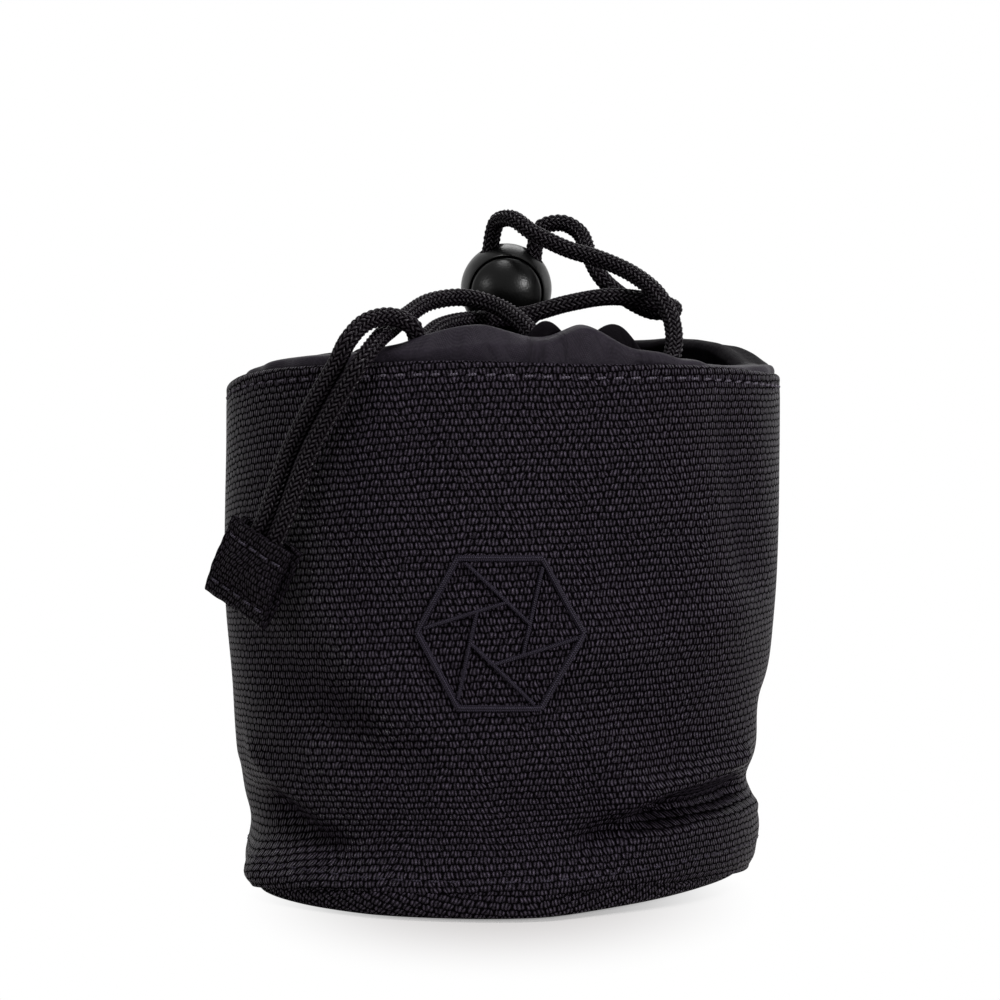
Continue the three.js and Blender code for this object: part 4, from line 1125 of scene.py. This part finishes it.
def slotCutter(side):
    # the cord's room in the button, long enough for the button's travel
    turn = np.linspace(0, 2 * np.pi, 32, endpoint=False)
    x = lock["hole"] * np.cos(turn) + side * lock["holeSpacing"] / 2
    y = lock["hole"] * np.sin(turn) - lock["holeForward"] - (np.sin(turn) < 0) * lock["travel"]
    section = np.stack([x, y, 0 * x], -1)
    rows = np.stack([section + [0, 0, along] for along in (-lock["cutReach"], 0, lock["cutReach"])])
    return addGrid("slot_cutter", placed(closeRows(rows), lock), lockAcetal)


def lockBall():
    # the outer arc, a rounded lip, the straight bore and the pocket's arc
    radius, bore, pocket, lip = lock["radius"], lock["bore"], lock["pocket"], lock["lip"]
    rimTurn = 180 - np.degrees(np.arcsin((bore + lip) / radius))
    outside = arc(radius, 0, 0, rimTurn, 60)
    corner = (bore + 0.02, -np.sqrt(radius**2 - bore**2))
    lipEnd = corner[1] + lock["lipDepth"]
    edge = bend(outside[-1], corner, (bore, lipEnd))
    straight = np.stack([np.full(8, bore), np.linspace(lipEnd, np.sqrt(pocket**2 - bore**2), 8)], -1)
    inside = arc(pocket, 0, np.degrees(np.arcsin(bore / pocket)), 0, 24)[1:]
    return np.concatenate([outside, edge, straight, inside])


def lockButton():
    # a front arc flush with the ball, a rounded edge, a straight skirt and an arc behind
    radius, button, travel = lock["radius"], lock["button"], lock["travel"]
    edgeTurn = 180 - np.degrees(np.arcsin((button - lock["buttonEdge"]) / radius))
    front = arc(radius, 0, 180, edgeTurn, 40)
    corner = (button, -np.sqrt(radius**2 - button**2))
    edgeEnd = corner[1] + lock["edgeDepth"]
    edge = bend(front[-1], corner, (button, edgeEnd))
    back = lock["pocket"] - lock["gap"]
    skirtEnd = -travel + np.sqrt(back**2 - button**2)
    skirt = np.stack([np.full(8, button), np.linspace(edgeEnd, skirtEnd, 8)], -1)
    behind = arc(back, -travel, np.degrees(np.arcsin(button / back)), 0, 20)[1:]
    return np.concatenate([front, edge, skirt, behind])


seatStart, seatEnd, seatRadius = -lock["springSeat"], lock["cutReach"], lock["springBore"]
springSeat = np.array([(0, seatStart), (seatRadius, seatStart), (seatRadius, seatEnd), (0, seatEnd)])
ball = addGrid("lock_ball", placed(turnedAboutY(lockBall()), lock), lockAcetal)
cutBy(ball, [holeCutter(-1), holeCutter(1)])
seat(ball, "lock", "lock_plastic", "lock_housing")
button = addGrid("lock_push_button", placed(turnedAboutY(lockButton()), lock), lockAcetal)
seatCutter = addGrid("seat_cutter", placed(turnedAboutY(springSeat, 32), lock), lockAcetal)
cutBy(button, [slotCutter(-1), slotCutter(1), seatCutter])
seat(button, "button", "lock_plastic", "lock_button")

spring = {"wire": 0.5, "radius": 1.3, "turns": 7, "start": -3.65, "end": 6.85}


def springWire():
    # a helix about the Y axis
    share = np.linspace(0, 1, 320)
    turn = share * spring["turns"] * 2 * np.pi
    along = spring["start"] + (spring["end"] - spring["start"]) * share
    path = np.stack([spring["radius"] * np.cos(turn), along, spring["radius"] * np.sin(turn)], -1)
    return placed(carry(path, spring["wire"] / 2, 10), lock)


coil = addGrid("lock_coil_spring", springWire(), wireSteel)
seat(coil, "lock", "spring_steel", "lock_spring")
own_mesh(coil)
print("ball lock made")


# End tab: one strip of cloth, down the front, round the fold and up the back, over both cord ends
def tabSheet():
    top = tab["length"] / 2
    half = tab["halfThickness"] - tab["cloth"] / 2
    # half thickness and level, from the top edge down to the fold
    side = [(half, top), (half, top - 3), (half, top - 6), (0.93 * half, top - 8.3), (0.62 * half, top - 11),
            (0.38 * half, top - 13.3), (0.24 * half, top - 14.3)]
    front = [(-depth, level) for depth, level in side]
    outline = np.array(front + [(0, -top + tab["cloth"] / 2)] + side[::-1])
    line = curveThrough(outline[:, None], 80)[:, 0]
    across = np.linspace(-tab["width"] / 2, tab["width"] / 2, 49)
    depth, level = line[:, :1], line[:, 1:]
    # the cloth stands off where the cords are, and closes beside them
    beside = ease(1.4, 4.6, np.abs(across) - tab["cordSpacing"] / 2)
    hug = 1 - tab["hug"] * beside - tab["dip"] * bell(across, 0.9)
    opened = ease(-top, 2.0, level)
    pinch = 1 - tab["pinch"] * bell(np.abs(level) - top + tab["stitchInset"], 1.1)
    curl = tab["curl"] * (across / tab["width"]) ** 2 + tab["ripple"] * np.sin(across / 2.2 + level / 3)
    x = across + tab["sideFray"] * np.sin(2.3 * level) * np.sign(across)
    z = level + tab["endFray"] * np.sin(1.7 * across)
    return np.stack(np.broadcast_arrays(x, depth * (hug * opened + 1 - opened) * pinch - curl, z), -1)


def closedSheet(grid, thickness):
    # both faces as a loop of rows, with a line down each cut side that closes it
    edges = np.concatenate([grid, grid[::-1]])
    return np.concatenate([edges[:, :1], thicken(grid, thickness, wrapped=False), edges[:, -1:]], axis=1)


def tabStitches(level):
    # a row across the front face, on the surface itself
    front = tabSheet()[:34]
    row = front[np.abs(front[:, 24, 2] - level).argmin()]
    count = int(tab["width"] / sewing["pitch"] + 0.5)
    x = (np.arange(count) - (count - 1) / 2) * (tab["width"] - 1) / count

    def onFront(at):
        depth = np.interp(at, row[:, 0], row[:, 1]) - tab["cloth"] / 2
        return np.stack([at, depth, np.full_like(at, level)], -1)

    along = unit(onFront(x + 0.5) - onFront(x - 0.5))
    out = np.repeat([[0.0, -1.0, 0.0]], count, 0)
    return placed(stitches(onFront(x), along, out, tab["stitch"], sewing["seamThread"]), tab)


tabPiece = addGrid("cord_end_tab", placed(closedSheet(tabSheet(), tab["cloth"]), tab), tabNylon,
                   wrapRows=True, wrapColumns=False)
seat(tabPiece, "tail", "ballistic_cloth", "end_tab")
for rowName, level in (("upper", 1), ("lower", -1)):
    row = tabStitches(level * (tab["length"] / 2 - tab["stitchInset"]))
    rowPiece = addGrid(f"tab_stitches_{rowName}", row, seamThread)
    seat(rowPiece, "tail", "sewing_thread", f"tab_stitching_{rowName}")
print("end tab made")

# Studio: white behind, a pale floor that keeps the shadow, and softboxes set by their own brightness
studio = {
    "fill": 0.08, "aim": 55, "floor": "c8c4c3", "floorReach": 2000, "floorDrop": 0.15,
    # the floor fades to white by the distance from a place, which counts longer across the view
    "fadeFrom": 20, "fadeTo": 68, "fadeCentre": -26, "fadeAcross": 1.45, "nearWhite": 0.3,
    # direction from the pouch, distance and size in metres, brightness
    "softboxes": {
        "left_front": ((-0.80, -0.60, 0.26), 0.65, (0.10, 0.13), 28),
        "right_front": ((0.72, -0.70, 0.26), 0.65, (0.12, 0.14), 86),
        "top": ((0.02, -0.32, 1.0), 0.8, (0.34, 0.26), 22),
        "back": ((0.0, 0.62, 0.8), 0.8, (0.45, 0.3), 4),
        "left_back": ((-0.85, 0.55, 0.35), 0.8, (0.2, 0.3), 0.8),
        "right_back": ((0.85, 0.55, 0.35), 0.8, (0.2, 0.3), 1.3),
    },
}


def addSoftbox(name, direction, distance, size, brightness):
    light = bpy.data.lights.new(name, "AREA")
    light.shape, light.size, light.size_y = "RECTANGLE", *size
    light.energy = brightness * np.pi * size[0] * size[1]
    lamp = bpy.data.objects.new(name, light)
    bpy.context.scene.collection.objects.link(lamp)
    target = np.array([0, 0, studio["aim"] * mm])
    towards = unit(np.array(direction))
    lamp.location = target + towards * distance
    lamp.rotation_euler = Vector(-towards).to_track_quat("-Z", "Y").to_euler()


for name, settings in studio["softboxes"].items():
    addSoftbox(name, *settings)

world = bpy.data.worlds.new("studio")
bpy.context.scene.world = world
world.use_nodes = True
tree = world.node_tree
rays = addNode(tree, "LightPath")
seen = addNode(tree, "Math", {"operation": "MAXIMUM"},
               {0: rays.outputs["Is Camera Ray"], 1: rays.outputs["Is Glossy Ray"]})
seen = addNode(tree, "Math", {"operation": "MAXIMUM"}, {0: seen, 1: rays.outputs["Is Transmission Ray"]})
strength = addNode(tree, "MapRange", {}, {"Value": seen, "To Min": studio["fill"]})
setInputs(tree.nodes["Background"], {"Color": (1, 1, 1, 1), "Strength": strength})


def floorSheet():
    # a flat grid, just under the pouch
    line = np.linspace(-studio["floorReach"], studio["floorReach"], 9)
    x, y = np.meshgrid(line, line)
    return np.stack([x, y, 0 * x - studio["floorDrop"]], -1)


def floorCard(name):
    # white acrylic sheet: faintly glossy, and lost in the white background away from the pouch
    material, tree, shader = startMaterial(name, {
        "Base Color": hexColour(studio["floor"]), "Roughness": 0.14, "Specular IOR Level": 0.4})
    place = addNode(tree, "TexCoord")
    oval = addNode(tree, "VectorMath", {"operation": "MULTIPLY"}, {
        0: place.outputs["Object"], 1: (studio["fadeAcross"], 1, 0)})
    far = addNode(tree, "VectorMath", {"operation": "DISTANCE"}, {
        0: oval, 1: (0, studio["fadeCentre"] * mm, 0)})
    fade = addNode(tree, "MapRange", {"interpolation_type": "SMOOTHSTEP"}, {
        "Value": far.outputs["Value"], "From Min": studio["fadeFrom"] * mm, "From Max": studio["fadeTo"] * mm,
        "To Min": studio["nearWhite"]})
    rays = addNode(tree, "LightPath")
    shown = addNode(tree, "Math", {"operation": "MULTIPLY"}, {0: fade, 1: rays.outputs["Is Camera Ray"]})
    white = addNode(tree, "Emission", {}, {"Color": (1, 1, 1, 1), "Strength": 1.0})
    mixed = addNode(tree, "MixShader", {}, {0: shown, 1: shader, 2: white})
    setInputs(tree.nodes["Material Output"], {"Surface": mixed})
    return material


addGrid("floor", floorSheet(), floorCard("white acrylic floor"), wrapColumns=False)
bpy.context.scene.view_settings.view_transform = "Standard"
print("studio made")
